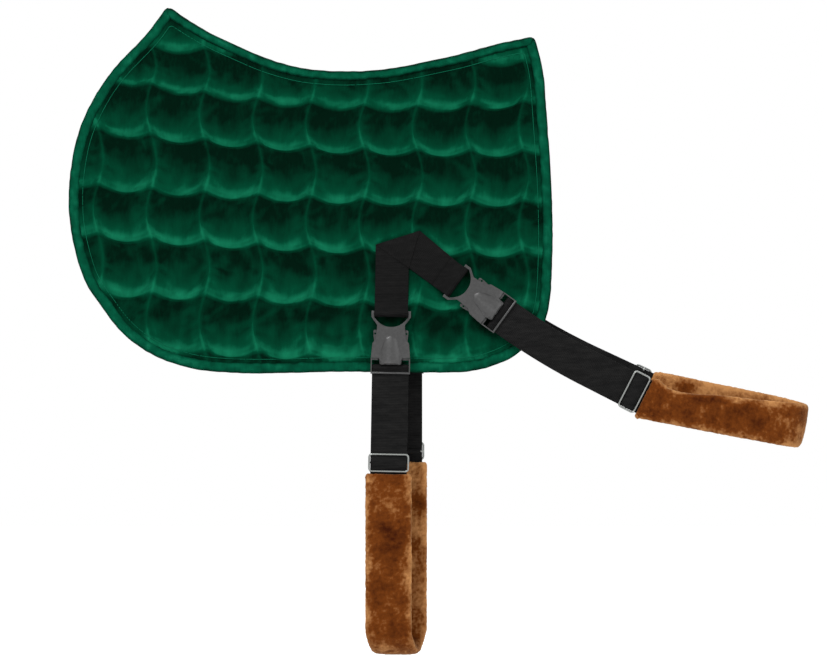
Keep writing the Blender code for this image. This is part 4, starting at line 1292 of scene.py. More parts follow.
class BandRun(BandFrame):
    """A band's own run: straight at its buckle, then turning a little in the flap's plane."""

    reach = 420.0 * MM
    step = 1.0 * MM

    def __init__(self, x: float, z: float, degrees: float, side: Side, curve: float, turn: float) -> None:
        """Lays the run out.

        Args:
            x: Place of the female bar along the horse.
            z: Place of the female bar, upwards.
            degrees: Angle of the buckle below the tail's direction.
            side: Side of the horse.
            curve: Length over which the run turns, past the male half's outer bar.
            turn: Degrees that it turns by.
        """
        super().__init__(x, z, degrees, side)
        self.spans = np.arange(round(self.reach / self.step)) * self.step
        share = np.clip((self.spans - OUTER_BAR_AT) / curve, 0.0, 1.0) if curve else np.zeros(len(self.spans))
        self.angles = math.radians(degrees) + math.radians(turn) * share
        stretch = in_plane(np.stack([np.cos(self.angles), -np.sin(self.angles)], axis=1)) * self.step
        self.line = self.start + np.vstack([np.zeros(3), np.cumsum((stretch[1:] + stretch[:-1]) / 2, axis=0)])

    def angle_at(self, along: float) -> float:
        """The run's angle at a distance, in radians."""
        return float(np.interp(along, self.spans, self.angles))

    def centre_at(self, along: float) -> np.ndarray:
        """The run's middle at a distance, between the flaps."""
        return np.array([np.interp(along, self.spans, self.line[:, k]) for k in range(3)])

    def at(self, along: np.ndarray, depth: np.ndarray, across: np.ndarray) -> np.ndarray:
        """Places at distances along the turning run, outwards and across.

        Args:
            along: Distances along the run.
            depth: Distances outwards.
            across: Distances across the run.

        Returns:
            A row of x, y and z for each place.
        """
        along, depth, across = np.broadcast_arrays(along, depth, across)
        straight = super().at(along, depth, across)
        angle = np.interp(along, self.spans, self.angles)
        middle = np.stack([np.interp(along, self.spans, self.line[:, k]) for k in range(3)], axis=-1)
        width = np.stack([np.sin(angle), np.zeros_like(angle), np.cos(angle)], axis=-1) * -self.side.value
        bent = middle + depth[..., None] * self.out + across[..., None] * width
        return np.where((along > 0)[..., None], bent, straight)


@dataclass
class Padding:
    """The pad's bindings and its lining."""

    inside: float = 3.4 * MM
    outside: float = 16.6 * MM
    ridge_outside: float = 17.3 * MM
    ridge_height: float = 15.0 * MM
    section_points: int = 20
    squareness: float = 0.72
    spacing: float = 3.0 * MM
    pucker: float = 0.55 * MM
    pucker_size: float = 9.0 * MM
    fine_size: float = 5.0 * MM
    patch_size: float = 45.0 * MM
    lining_inset: float = 8.0 * MM
    lining_depth: float = 5.4 * MM
    lining_cloth: float = 1.3 * MM
    thread_depth: float = SEAM_DEPTH + 0.6 * MM
    thread_shade: float = 0.75
    thread_spacing: float = 2.0 * MM
    thread_half_sizes: Point = (0.4 * MM, 0.35 * MM)
    ridge_squareness: float = 0.62
    lining_faces: tuple[int, int] = (96, 84)
    lining_from: Point = (-400.0 * MM, 118.0 * MM)
    lining_size: Point = (700.0 * MM, 620.0 * MM)
    lining_ripple: float = 0.25 * MM
    lining_ripple_size: float = 50.0 * MM

    def crease(self, item: Piece, seed: float) -> None:
        """Puckers a velvet roll and stores its shade: painted light where it faces out to the side, painted
        light on the puckers' crests and painted shade in their dips, and random tone.

        Args:
            item: The roll.
            seed: Number that its pattern starts from.
        """
        places = points_of(item)
        normal = point_normals(item)
        bumps = grain(places * (1.0, 0.35, 1.0), self.pucker_size, seed)
        move_points(item, places + normal * (bumps * self.pucker)[:, None])
        fine = grain(places, self.fine_size, seed + 3.0)
        wide = grain(places, self.patch_size, seed + 5.0)
        # Painted light and shade: lighter where the roll faces out to the side and on the puckers' crests,
        # darker in their dips; fine and wide add random tone
        facing = np.abs(point_normals(item)[:, 1])
        shade = 0.02 + 0.46 * facing ** 2.5 + 0.24 * bumps + 0.12 * fine + 0.10 * wide
        set_shade(item, np.clip(shade, 0.0, 1.0))
        soften(item)

    def roll(self, side: Side) -> Piece:
        """The bound edge of one flap, from tip to tip.

        Args:
            side: The flap's side.

        Returns:
            The new piece.
        """
        line = evenly(REST_LINE, self.spacing, False)
        inwards = flat_frames(line)[1]
        middle = (self.inside + self.outside) / 2
        centres = in_plane(line + inwards * ROLL_WIDTH / 2, side.value * middle)
        thick = np.repeat([[0.0, float(side.value), 0.0]], len(line), axis=0)
        section = oval(ROLL_WIDTH / 2 - self.pucker, (self.outside - self.inside) / 2 - self.pucker,
                       self.section_points, self.squareness)
        item = sweep(f"{side.word}_binding_roll", centres, in_plane(inwards), thick, section)
        self.crease(item, 11.0 + side.value)
        return item

    def thread(self, side: Side) -> Piece:
        """The line of stitches that runs inside a flap's bound edge.

        Args:
            side: The flap's side.

        Returns:
            The new piece.
        """
        line = evenly(STITCH_PAD.inset(Quilting().border_inset).points, self.thread_spacing, True)
        wide = in_plane(flat_frames(line, True)[1])
        thick = np.repeat([[0.0, float(side.value), 0.0]], len(line), axis=0)
        section = oval(*self.thread_half_sizes, 6)
        centres = in_plane(line, side.value * self.thread_depth)
        item = sweep(f"{side.word}_border_stitches", centres, wide, thick, section, True)
        set_shade(item, np.full(len(item.data.vertices), self.thread_shade))
        soften(item)
        return item

    def ridge(self) -> Piece:
        """The roll along the spine, that joins the two sides.

        Returns:
            The new piece.
        """
        line = evenly(TOP_LINE, self.spacing, False)
        inwards = flat_frames(line)[1]
        centres = in_plane(line + inwards * self.ridge_height / 2)
        wide = np.repeat([[0.0, 1.0, 0.0]], len(line), axis=0)
        section = oval(self.ridge_outside - self.pucker, self.ridge_height / 2 - self.pucker,
                       2 * self.section_points, self.ridge_squareness)
        item = sweep("ridge_roll", centres, wide, in_plane(-inwards), section)
        self.crease(item, 17.0)
        return item

    def lining(self, side: Side) -> Piece:
        """The plain inner sheet of one flap.

        Args:
            side: The flap's side.

        Returns:
            The new piece.
        """
        item, column, row = grid_sheet(f"{side.word}_lining_sheet", *self.lining_faces)
        x = self.lining_from[0] + self.lining_size[0] * column / self.lining_faces[0]
        z = self.lining_from[1] - self.lining_size[1] * row / self.lining_faces[1]
        flat = np.stack([x, z], axis=1)
        depth = self.lining_depth + self.lining_ripple * grain(in_plane(flat), self.lining_ripple_size, 4.0)
        move_points(item, np.stack([x, side.value * depth, z], axis=1))
        trim(item, flat, PAD.inset(self.lining_inset))
        outward = item.data.polygons[0].normal.y * side.value > 0
        thicken(item, self.lining_cloth, -1.0 if outward else 1.0)
        clean_up(item)
        soften(item)
        return item


@dataclass
class VStrap:
    """The V of webbing sewn to a flap, whose ends loop round the buckles' bars."""

    width: float = 44.5 * MM
    thickness: float = 2.0 * MM
    loop_radius: float = 3.6 * MM
    outward_mm: tuple[Point, ...] = ((-26.0, 0.0), (-15.5, 0.1), (-9.0, 1.9))
    tail_mm: tuple[Point, ...] = ((-9.5, 3.6), (-14.0, 2.2), (-23.0, 2.05))
    leg_top: float = 91.0 * MM
    apex_back: float = 78.6 * MM
    apex_rise: float = 4.5 * MM
    widens_from: float = 14.0 * MM
    gusset_lift: float = 0.9 * MM
    spacing: float = 1.2 * MM

    def corners(self, belly: BandFrame, hind: BandFrame, margin: float = 0.0) -> dict[str, np.ndarray]:
        """The V's corners in the flap's plane, as X and Z.

        Args:
            belly: Frame of the belly band's buckle.
            hind: Frame of the hind band's buckle.
            margin: Distance that the outline is moved outwards.

        Returns:
            The corners by name, in order round the V.
        """
        half = self.width / 2 + margin
        down, away = belly.way[[0, 2]], hind.way[[0, 2]]
        front = np.array([down[1], -down[0]])
        upper = np.array([-away[1], away[0]])
        belly_bar, hind_bar = belly.start[[0, 2]], hind.start[[0, 2]]
        inner_a, inner_b = belly_bar - front * half, hind_bar - upper * half
        gap = inner_b - inner_a
        reach = (gap[0] * away[1] - gap[1] * away[0]) / (down[0] * away[1] - down[1] * away[0])
        return {
            "belly_front": belly_bar + front * half,
            "corner": belly_bar + front * half - down * (self.leg_top + margin),
            "apex": hind_bar + upper * (half + self.apex_rise) - away * (self.apex_back + margin),
            "hind_upper": hind_bar + upper * half,
            "hind_lower": inner_b,
            "inner": inner_a + down * reach,
            "belly_rear": inner_a,
        }

    def outline(self, belly: BandFrame, hind: BandFrame) -> Outline:
        """The V's outline, for the velvet that it presses down."""
        return Outline(np.array(list(self.corners(belly, hind).values())))

    def leg(self, name: str, base: BandFrame, crease: Sequence[np.ndarray]) -> Piece:
        """One leg, from its crease to its loop and the sewn-down tail.

        Args:
            name: Name of the piece.
            base: The frame of its buckle.
            crease: Two places in the flap's plane that the leg's upper end runs between.

        Returns:
            The leg.
        """
        ends = []
        for x, z in crease:
            offset = np.array([x, 0.0, z]) - base.start
            ends.append((offset @ base.way, offset @ base.across))
        slant = (ends[1][0] - ends[0][0]) / (ends[1][1] - ends[0][1])
        start = ends[0][0] - slant * ends[0][1]
        view = [(start, STRAP_DEPTH)]
        view += [(along * MM, STRAP_DEPTH + rise * MM) for along, rise in self.outward_mm]
        view += arc((0.0, BAND_DEPTH), self.loop_radius, -115, 104)
        view += [(-5.0 * MM, BAND_DEPTH - 0.9 * MM)]
        view += [(along * MM, STRAP_DEPTH + rise * MM) for along, rise in self.tail_mm]
        return ribbon(name, base, view, self.width, self.thickness, (slant, 0.0), self.spacing)

    def widen(self, item: Piece, base: BandFrame) -> None:
        """Spreads the hind leg's upper edge out to the apex.

        Args:
            item: The leg.
            base: The frame of its buckle.
        """
        places = points_of(item)
        offset = places - base.start
        upper = base.across * (1.0 if base.across[2] > 0 else -1.0)
        passed = -offset @ base.way - self.widens_from
        toward = np.clip(passed / (self.apex_back - self.widens_from), 0.0, 1.2)
        share = np.clip(0.5 + offset @ upper / self.width, 0.0, 1.0)
        move_points(item, places + upper * (self.apex_rise * toward * share)[:, None])

    def gusset(self, name: str, side: Side, corners: dict[str, np.ndarray]) -> Piece:
        """The fold between the two legs, a triangle of the same webbing.

        Args:
            name: Name of the piece.
            side: Side of the horse.
            corners: The V's corners.

        Returns:
            The folded piece.
        """
        first, last, inner = corners["corner"], corners["apex"], corners["inner"]
        way = last - first
        base = BandFrame(first[0], first[1], math.degrees(math.atan2(-way[1], way[0])), side)
        offset = np.array([inner[0], 0.0, inner[1]]) - base.start
        tip, height = offset @ base.way, offset @ base.across
        length = float(np.linalg.norm(way))
        base.start = base.start + base.across * height / 2
        slants = (tip / height, (tip - length) / height)
        depth = STRAP_DEPTH + self.gusset_lift
        view = [(tip / 2, depth), ((tip + length) / 2, depth)]
        return ribbon(name, base, view, abs(height), self.thickness, slants)

    def build(self, side: Side, belly: BandFrame, hind: BandFrame) -> list[Piece]:
        """The V's three pieces.

        Args:
            side: The flap's side.
            belly: The belly band's frame.
            hind: The hind band's frame.

        Returns:
            The two legs and the gusset.
        """
        corners = self.corners(belly, hind)
        away = hind.way[[0, 2]]
        apex = corners["apex"] - self.apex_rise * np.array([-away[1], away[0]])
        hind_leg = self.leg(f"{side.word}_hind_leg", hind, (apex, corners["inner"]))
        self.widen(hind_leg, hind)
        return [
            self.leg(f"{side.word}_belly_leg", belly, (corners["corner"], corners["inner"])),
            hind_leg,
            self.gusset(f"{side.word}_strap_gusset", side, corners),
        ]


@dataclass
class BandWebbing:
    """The doubled webbing of a band, folded round the male half's bar."""

    width: float = 48.6 * MM
    layer: float = 1.75 * MM
    spread: float = 0.93 * MM
    bar_at: float = 71.6 * MM
    wrap_radius: float = 2.75 * MM
    pinch: Point = (3.5 * MM, 0.3 * MM)
    spacing: float = 1.4 * MM

    def build(self, name: str, run: BandRun, end: float) -> Piece:
        """The webbing of one side of a band.

        Args:
            name: Name of the piece.
            run: The band's run.
            end: Distance at which both layers end, inside the fleece.

        Returns:
            The webbing.
        """
        back, wider = self.pinch
        inner = [(end, -self.spread), (OUTER_BAR_AT, -self.spread),
                 (OUTER_BAR_AT - back, -self.spread - wider)]
        view = [(along, BAND_DEPTH + offset) for along, offset in inner]
        view += arc((self.bar_at, BAND_DEPTH), self.wrap_radius, -60, -300)
        view += [(along, BAND_DEPTH - offset) for along, offset in inner[::-1]]
        return ribbon(name, run, view, self.width, self.layer, spacing=self.spacing)


@dataclass
class TriGlide:
    """The wire slide on a band, with the webbing that shows between its wires."""

    wire: float = 1.3 * MM
    wire_points: int = 14
    half_width: float = 25.95 * MM
    half_height: float = 11.35 * MM
    corner: float = 4.0 * MM
    frame_depth: float = 27.9 * MM
    bar_depth: float = 18.8 * MM
    bar_bend: float = 1.6 * MM
    strip_width: float = 47.6 * MM
    loop_width: float = 44.2 * MM
    layer: float = 1.6 * MM
    proud: float = 0.4 * MM
    loop_tail: tuple[float, float] = (-20.0 * MM, -4.0 * MM)
    spacing: float = 1.0 * MM

    def ring(self, name: str, base: BandFrame) -> Piece:
        """The wire frame.

        Args:
            name: Its name.
            base: The band's frame that it lies on.

        Returns:
            The new piece.
        """
        turns = []
        for number, (sx, sy) in enumerate(((1, 1), (-1, 1), (-1, -1), (1, -1))):
            centre = (sx * (self.half_height - self.corner), sy * (self.half_width - self.corner))
            turns += arc(centre, self.corner, 90 * number, 90 * number + 90, 7)
        line = evenly(np.array(turns), 1.5 * MM, True)
        normal = flat_frames(line, True)[1]
        centres = base.at(line[:, 0], np.full(len(line), self.frame_depth), line[:, 1])
        wide = normal[:, :1] * base.way + normal[:, 1:] * base.across
        thick = np.repeat([base.out], len(line), axis=0)
        return sweep(name, centres, wide, thick, oval(self.wire, self.wire, self.wire_points), True)

    def bar(self, name: str, base: BandFrame) -> Piece:
        """The centre bar, bent back behind the webbing at both ends.

        Args:
            name: Its name.
            base: The band's frame that it lies on.

        Returns:
            The new piece.
        """
        bend, half = self.bar_bend, self.half_width
        end = [(half, self.frame_depth), (half, self.bar_depth + bend + 1 * MM)]
        end += arc((half - bend, self.bar_depth + bend), bend, 0, -90, 6)
        line = evenly(np.array(end + [(-x, z) for x, z in end[::-1]]), self.spacing, False)
        normal = flat_frames(line)[1]
        centres = base.at(np.zeros(len(line)), line[:, 1], line[:, 0])
        wide = normal[:, :1] * base.across + normal[:, 1:] * base.out
        thick = np.repeat([base.way], len(line), axis=0)
        return sweep(name, centres, wide, thick, oval(self.wire, self.wire, self.wire_points))

    def strip(self, name: str, base: BandFrame) -> Piece:
        """The webbing that bulges out between the wires.

        Args:
            name: Its name.
            base: The band's frame that it lies on.

        Returns:
            The new piece.
        """
        top = self.frame_depth + self.proud
        half = [(-11.0 * MM, BAND_DEPTH + 0.9 * MM), (-9.0 * MM, BAND_DEPTH + 1.7 * MM),
                (-5.5 * MM, top - 0.8 * MM), (-2.5 * MM, top - 0.1 * MM)]
        view = half + [(0.0, top)] + [(-s, depth) for s, depth in half[::-1]]
        return ribbon(name, base, view, self.strip_width, self.layer, spacing=self.spacing)

    def loop(self, name: str, base: BandFrame) -> Piece:
        """The webbing's sewn end round the centre bar, behind the band.

        Args:
            name: Its name.
            base: The band's frame that it lies on.

        Returns:
            The new piece.
        """
        radius = self.wire + 0.35 * MM + self.layer / 2
        view = [(along, self.bar_depth + radius) for along in self.loop_tail]
        view += arc((0.0, self.bar_depth), radius, 90, -170)
        return ribbon(name, base, view, self.loop_width, self.layer, spacing=self.spacing)


@dataclass
class FleeceSleeve:
    """A folded sleeve of short pile that hides the doubled webbing under the belly or behind the horse."""

    width: float = 63.0 * MM
    thickness: float = 16.0 * MM
    mouth_half_width: float = 26.6 * MM
    mouth_half_thick: float = 2.35 * MM
    spacing: float = 2.5 * MM
    section_points: int = 60
    pile: float = 0.8 * MM
    pile_size: float = 3.6 * MM
    seam_depth: float = 1.1 * MM
    seam_half_width: float = 1.3 * MM
    # Shade of the pile: random tufts and patches, painted shade in the seam, painted sheen along the long
    # edges and painted light on the far leg's inner face
    plain_shade: float = 0.41
    tuft_shade: float = 0.20
    patch_shade: float = 0.17
    seam_shade: float = 0.22
    rim_from: float = 0.58
    rim_light: float = 0.40
    inner_light: float = 0.22
    mouth_shares: tuple[tuple[float, float, float], ...] = (
        (9.0, 0.0, 0.0), (2.0, 0.0, 0.0), (0.7, 0.05, 0.22), (0.0, 0.14, 0.46),
        (0.25, 0.34, 0.62), (1.0, 0.54, 0.77), (2.6, 0.74, 0.88), (5.0, 0.92, 0.96),
    )
    mouth_rows: int = 3
    squareness: float = 0.6
    bore_squareness: float = 0.35
    patch_size: float = 24.0 * MM
    patch_swell: float = 0.4
    inner_over: float = 16.0 * MM
    seam_wander: float = 1.5 * MM
    seam_wander_length: float = 60.0 * MM

    def leg(self, start: np.ndarray, first: float, end: np.ndarray, last: float) -> Stations:
        """Places and angles along one leg.

        Args:
            start: Its mouth, as X and Z.
            first: Angle at the mouth, in radians.
            end: Its fold, as X and Z.
            last: Angle at the fold.

        Returns:
            A place and an angle for each section.
        """
        steps = round(float(np.linalg.norm(end - start)) / self.spacing)
        return [(start + (end - start) * t, first + (last - first) * t) for t in np.linspace(0.0, 1.0, steps)]

    def frames(self, near: Stations, far: Stations) -> np.ndarray:
        """Centres, width, thickness and way of every section, from mouth to mouth round the fold.

        Args:
            near: The near leg's stations, from the mouth to the fold.
            far: The far leg's stations, likewise.

        Returns:
            A row of four vectors for each section.
        """
        rows = [(place, angle, 0.0) for place, angle in near]
        fold = round(math.pi * BAND_DEPTH / self.spacing)
        for k in range(1, fold):
            t = k / fold
            place = near[-1][0] * (1 - t) + far[-1][0] * t
            rows.append((place, near[-1][1] * (1 - t) + far[-1][1] * t, math.pi * t))
        rows += [(place, angle, math.pi) for place, angle in far[::-1]]
        made = []
        for place, angle, turn in rows:
            way = np.array([math.cos(angle), 0.0, -math.sin(angle)])
            width = np.array([math.sin(angle), 0.0, math.cos(angle)])
            centre = np.array([place[0], -BAND_DEPTH * math.cos(turn), place[1]])
            centre += way * BAND_DEPTH * math.sin(turn)
            thick = np.array([0.0, -math.cos(turn), 0.0]) + way * math.sin(turn)
            made.append((centre, width, thick, way * math.cos(turn) + np.array([0.0, math.sin(turn), 0.0])))
        return np.array(made)

    def mouth(self, frame_row: np.ndarray, inwards: float) -> tuple[list[np.ndarray], list[np.ndarray]]:
        """Frames and sections that turn a mouth in, from its depth to its rim.

        Args:
            frame_row: The frame at the mouth.
            inwards: 1 where the sleeve goes on along the frame's way, or -1.

        Returns:
            The frames and the sections.
        """
        full = oval(self.width / 2, self.thickness / 2, self.section_points, self.squareness)
        bore = oval(self.mouth_half_width, self.mouth_half_thick, self.section_points, self.bore_squareness)
        frames, sections = [], []
        for offset, wide, thick in self.mouth_shares:
            moved = frame_row.copy()
            moved[0] = moved[0] + moved[3] * inwards * offset * MM
            share = np.array((wide, thick))
            frames.append(moved)
            sections.append(bore * (1 - share) + full * share)
        return frames, sections

    def rows_of(self, near: Stations, far: Stations,
                dips: Sequence[Point]) -> tuple[np.ndarray, np.ndarray]:
        """Every frame of a sleeve and its section, from the depth of one mouth to that of the other.

        Args:
            near: Places and angles of the near leg.
            far: Places and angles of the far leg.
            dips: How far the near leg's upper edge sags, in millimetres, at shares of its length.

        Returns:
            The frames and the sections.
        """
        rows = self.frames(near, far)
        full = oval(self.width / 2 - self.pile, self.thickness / 2 - self.pile, self.section_points,
                    self.squareness)
        first_frames, first_sections = self.mouth(rows[0], 1.0)
        last_frames, last_sections = self.mouth(rows[-1], -1.0)
        body = rows[self.mouth_rows:-self.mouth_rows]
        frames = np.array([*first_frames, *body, *last_frames[::-1]])
        sections = np.array([*first_sections, *[full] * len(body), *last_sections[::-1]])
        passed = np.arange(len(frames)) - len(first_frames) + self.mouth_rows
        share = np.clip(passed, 0, len(near)) / len(near)
        sag = np.interp(share, [at for at, depth in dips], [depth * MM for at, depth in dips])
        upper = sections[..., 0] > 0
        sections[..., 0] *= np.where(upper, 1 - 2 * sag[:, None] / self.width, 1.0)
        return frames, sections

    def rim_of(self, places: np.ndarray, frames: np.ndarray, sections: np.ndarray) -> np.ndarray:
        """How near each place is to the sleeve's long edges, from 0 to 1.

        Args:
            places: The sleeve's points.
            frames: Its frames.
            sections: Its sections.

        Returns:
            One number a point.
        """
        nearest = np.argmin(np.linalg.norm(places[:, None] - frames[None, :, 0], axis=2), axis=1)
        offset = np.sum((places - frames[nearest, 0]) * frames[nearest, 1], axis=1)
        widths = sections[nearest, :, 0]
        across = np.abs(offset) / np.where(offset > 0, widths.max(axis=1), -widths.min(axis=1))
        return np.clip((across - self.rim_from) / (1.0 - self.rim_from), 0.0, 1.0) ** 1.6

    def build(self, name: str, near: Stations, far: Stations,
              seam_at: float | None = None, dips: Sequence[Point] = ((0.0, 0.0), (1.0, 0.0))) -> Piece:
        """One sleeve.

        Args:
            name: Name of the piece.
            near: Places and angles of the near leg.
            far: Places and angles of the far leg.
            seam_at: Place of the sewn seam along the horse, or None.
            dips: How far the near leg's upper edge sags, in millimetres, at shares of its length.

        Returns:
            The sleeve, with its pile.
        """
        frames, sections = self.rows_of(near, far, dips)
        item = sweep(name, frames[:, 0], frames[:, 1], frames[:, 2], sections)
        places = points_of(item)
        normal = point_normals(item)
        tufts = grain(places, self.pile_size, 3.0)
        broad = grain(places, self.patch_size, 9.0)
        push = self.pile * tufts + self.patch_swell * self.pile * broad
        # Painted light: the far leg's face towards the near side is lighter
        inner = np.clip(places[:, 1] / self.inner_over, 0.0, 1.0) * np.clip(-2 * normal[:, 1], 0.0, 1.0)
        # Painted sheen: lighter towards the sleeve's long edges
        rim = self.rim_of(places, frames, sections)
        shade = self.plain_shade + self.tuft_shade * tufts + self.patch_shade * broad
        shade += self.inner_light * inner + self.rim_light * rim
        if seam_at is not None:
            wander = self.seam_wander * np.sin(places[:, 2] / self.seam_wander_length)
            off_seam = np.abs(places[:, 0] - seam_at - wander)
            # The seam is pressed in and painted shade darkens it
            groove = np.exp(-(off_seam / self.seam_half_width) ** 2) * (normal[:, 1] < -0.5)
            push -= self.seam_depth * groove
            shade -= self.seam_shade * groove
        move_points(item, places + normal * push[:, None])
        set_shade(item, np.clip(shade, 0.0, 1.0))
        soften(item)
        return item


@dataclass
class Buckle:
    """A side-release buckle: softened copies of the moulded halves, with a swelling for the thumb that
    carries painted shade round its edge and a painted highlight.
    """

    edge: float = 0.45 * MM
    segments: int = 2
    sharpest: float = 40.0
    face: float = 30.2 * MM
    # A flat skirt round the dome carries a painted dark band where a groove's shade would fall, and the dome
    # a painted highlight
    skirt: float = 1.6 * MM
    skirt_rise: float = 0.04 * MM
    groove: float = 0.60
    groove_half_width: float = 1.5 * MM
    highlight: float = 0.36
    highlight_at: Point = (0.12, 0.34)
    dome_faces: tuple[int, int] = (36, 48)
    dome_mm: tuple[tuple[float, float, float], ...] = (
        (30.0, 0.0, 0.0), (31.0, 4.2, 0.9), (34.0, 7.6, 1.8), (39.0, 9.8, 2.8), (47.0, 12.0, 3.8),
        (56.0, 13.6, 4.3), (63.0, 14.1, 4.3), (67.0, 13.6, 3.6), (68.6, 12.4, 0.0),
    )
    hole_radius: float = 1.35 * MM
    hole_points: int = 20
    drill_length: float = 20 * MM
    hole_at: Point = (27.5 * MM, 20.8 * MM)

    def dome(self, name: str, base: BandFrame) -> Piece:
        """The swelling on the female half that the thumb finds, with a flat skirt round it that carries a
        painted dark band where a groove's shade would fall, and a painted highlight near its middle.

        Args:
            name: Name of the piece.
            base: The buckle's frame.

        Returns:
            The dome, closed underneath.
        """
        item, column, row = grid_sheet(name, *self.dome_faces)
        u = 2 * column / self.dome_faces[0] - 1
        stations, halves, rises = np.array(self.dome_mm).T * MM
        start = stations[0] - self.skirt
        along = start + (stations[-1] - start) * row / self.dome_faces[1]
        half = np.interp(along, stations, halves)
        rise = np.interp(along, stations, rises)
        across = (half + self.skirt) * u
        share = np.minimum(np.abs(across) / np.maximum(half, 0.1 * MM), 1.0)
        move_points(item, base.at(along, self.face + self.skirt_rise + rise * (1 - share ** 2.6), across))
        # Painted shade: a dark band along the dome's edge, where no groove is cut, less a painted highlight
        # near the middle
        off_edge = (np.abs(across) - half) / self.groove_half_width
        groove = self.groove * np.exp(-off_edge ** 2) * np.clip((along / MM - 31) / 10, 0.3, 1)
        middle, spread = self.highlight_at
        off_middle = (share * np.sign(u) * base.side.value - middle) / spread
        set_shade(item, groove - self.highlight * np.exp(-off_middle ** 2), "groove")
        clean_up(item)
        smooth(item, SOFT_EDGE)
        return item

    def drill(self, item: Piece, base: BandFrame, front: bool) -> None:
        """Cuts the small hole in a prong's lobe.

        Args:
            item: The prong.
            base: The buckle's frame.
            front: Whether the prong is the one towards the horse's head.
        """
        along, across = self.hole_at
        toward_head = -1.0 if base.across[0] > 0 else 1.0
        sign = toward_head if front else -toward_head
        place = base.at(np.array(along), np.array(BAND_DEPTH), np.array(sign * across))
        deselect_all()
        bpy.ops.mesh.primitive_cylinder_add(vertices=self.hole_points, radius=self.hole_radius,
                                            depth=self.drill_length, location=place,
                                            rotation=(math.pi / 2, 0.0, 0.0))
        cutter = bpy.context.active_object
        pick(item)
        bpy.ops.object.modifier_add(type="BOOLEAN")
        item.modifiers[-1].operation = "DIFFERENCE"
        item.modifiers[-1].object = cutter
        apply_modifiers(item)
        bpy.data.objects.remove(cutter)

    def moulded(self, node: str, base: BandFrame) -> Piece:
        """A copy of a CAD node with its edges rounded.

        Args:
            node: Name of the node.
            base: The buckle's frame.

        Returns:
            The copy.
        """
        source = bpy.data.objects[node]
        item = duplicate(source, f"{node}_moulded")
        item.parent = None
        item.matrix_world = source.matrix_world
        clean_up(item)
        if node.endswith("_prong"):
            self.drill(item, base, "_front_" in node)
        bevel = item.modifiers.new("edges", "BEVEL")
        bevel.width = self.edge
        bevel.segments = self.segments
        bevel.limit_method = "ANGLE"
        bevel.angle_limit = math.radians(self.sharpest)
        bevel.harden_normals = False
        apply_modifiers(item)
        smooth(item, MOULDED_EDGE)
        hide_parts(node)
        return item


@dataclass
class Unit:
    """One side of a band: where its buckle hangs and how far its webbing and glide reach."""

    band: BandName
    side: Side
    run: BandRun
    glide_at: float
    mouth_angle: float

    @property
    def name(self) -> str:
        """The unit's name in the record."""
        return f"{self.side.word}_{self.band.value}"

    @property
    def glide_angle(self) -> float:
        """The run's angle at the glide, in radians."""
        return self.run.angle_at(self.glide_at)

    @property
    def mouth_past_glide(self) -> float:
        """Distance from the glide to the fleece."""
        bend = abs(self.glide_angle - self.mouth_angle)
        return GLIDE_TO_FLEECE + FleeceSleeve().width / 2 * math.sin(bend)

    @property
    def mouth(self) -> np.ndarray:
        """Where the fleece starts, as X and Z."""
        way = np.array([math.cos(self.glide_angle), -math.sin(self.glide_angle)])
        return self.run.centre_at(self.glide_at)[[0, 2]] + way * self.mouth_past_glide

    def glide_frame(self) -> BandFrame:
        """The frame of the tri-glide."""
        place = self.run.centre_at(self.glide_at)
        return BandFrame(place[0], place[2], math.degrees(self.glide_angle), self.side)


def lay_out_units() -> dict[str, Unit]:
    """The four units by name, as the CAD places them.

    Returns:
        Each unit under its name.
    """
    belly_z, hind_z = -323.6 * MM + SPINE_TOP, -281.5 * MM + SPINE_TOP
    rows = (
        (BandName.BELLY, Side.LEFT, 61.7, belly_z, 91.0, 199.1, 91.0),
        (BandName.BELLY, Side.RIGHT, 78.7, belly_z, 90.0, 185.1, 90.0),
        (BandName.HIND, Side.LEFT, 147.6, hind_z, 36.0, 279.5, 27.0),
        (BandName.HIND, Side.RIGHT, 147.6, hind_z, 34.0, 280.5, 25.0),
    )
    units = {}
    for band, side, x, z, degrees, glide_at, mouth_degrees in rows:
        curve, turn = (HIND_CURVE, HIND_TURN) if band is BandName.HIND else (0.0, 0.0)
        run = BandRun(x * MM, z, degrees, side, curve, turn)
        unit = Unit(band, side, run, glide_at * MM, math.radians(mouth_degrees))
        units[unit.name] = unit
    return units


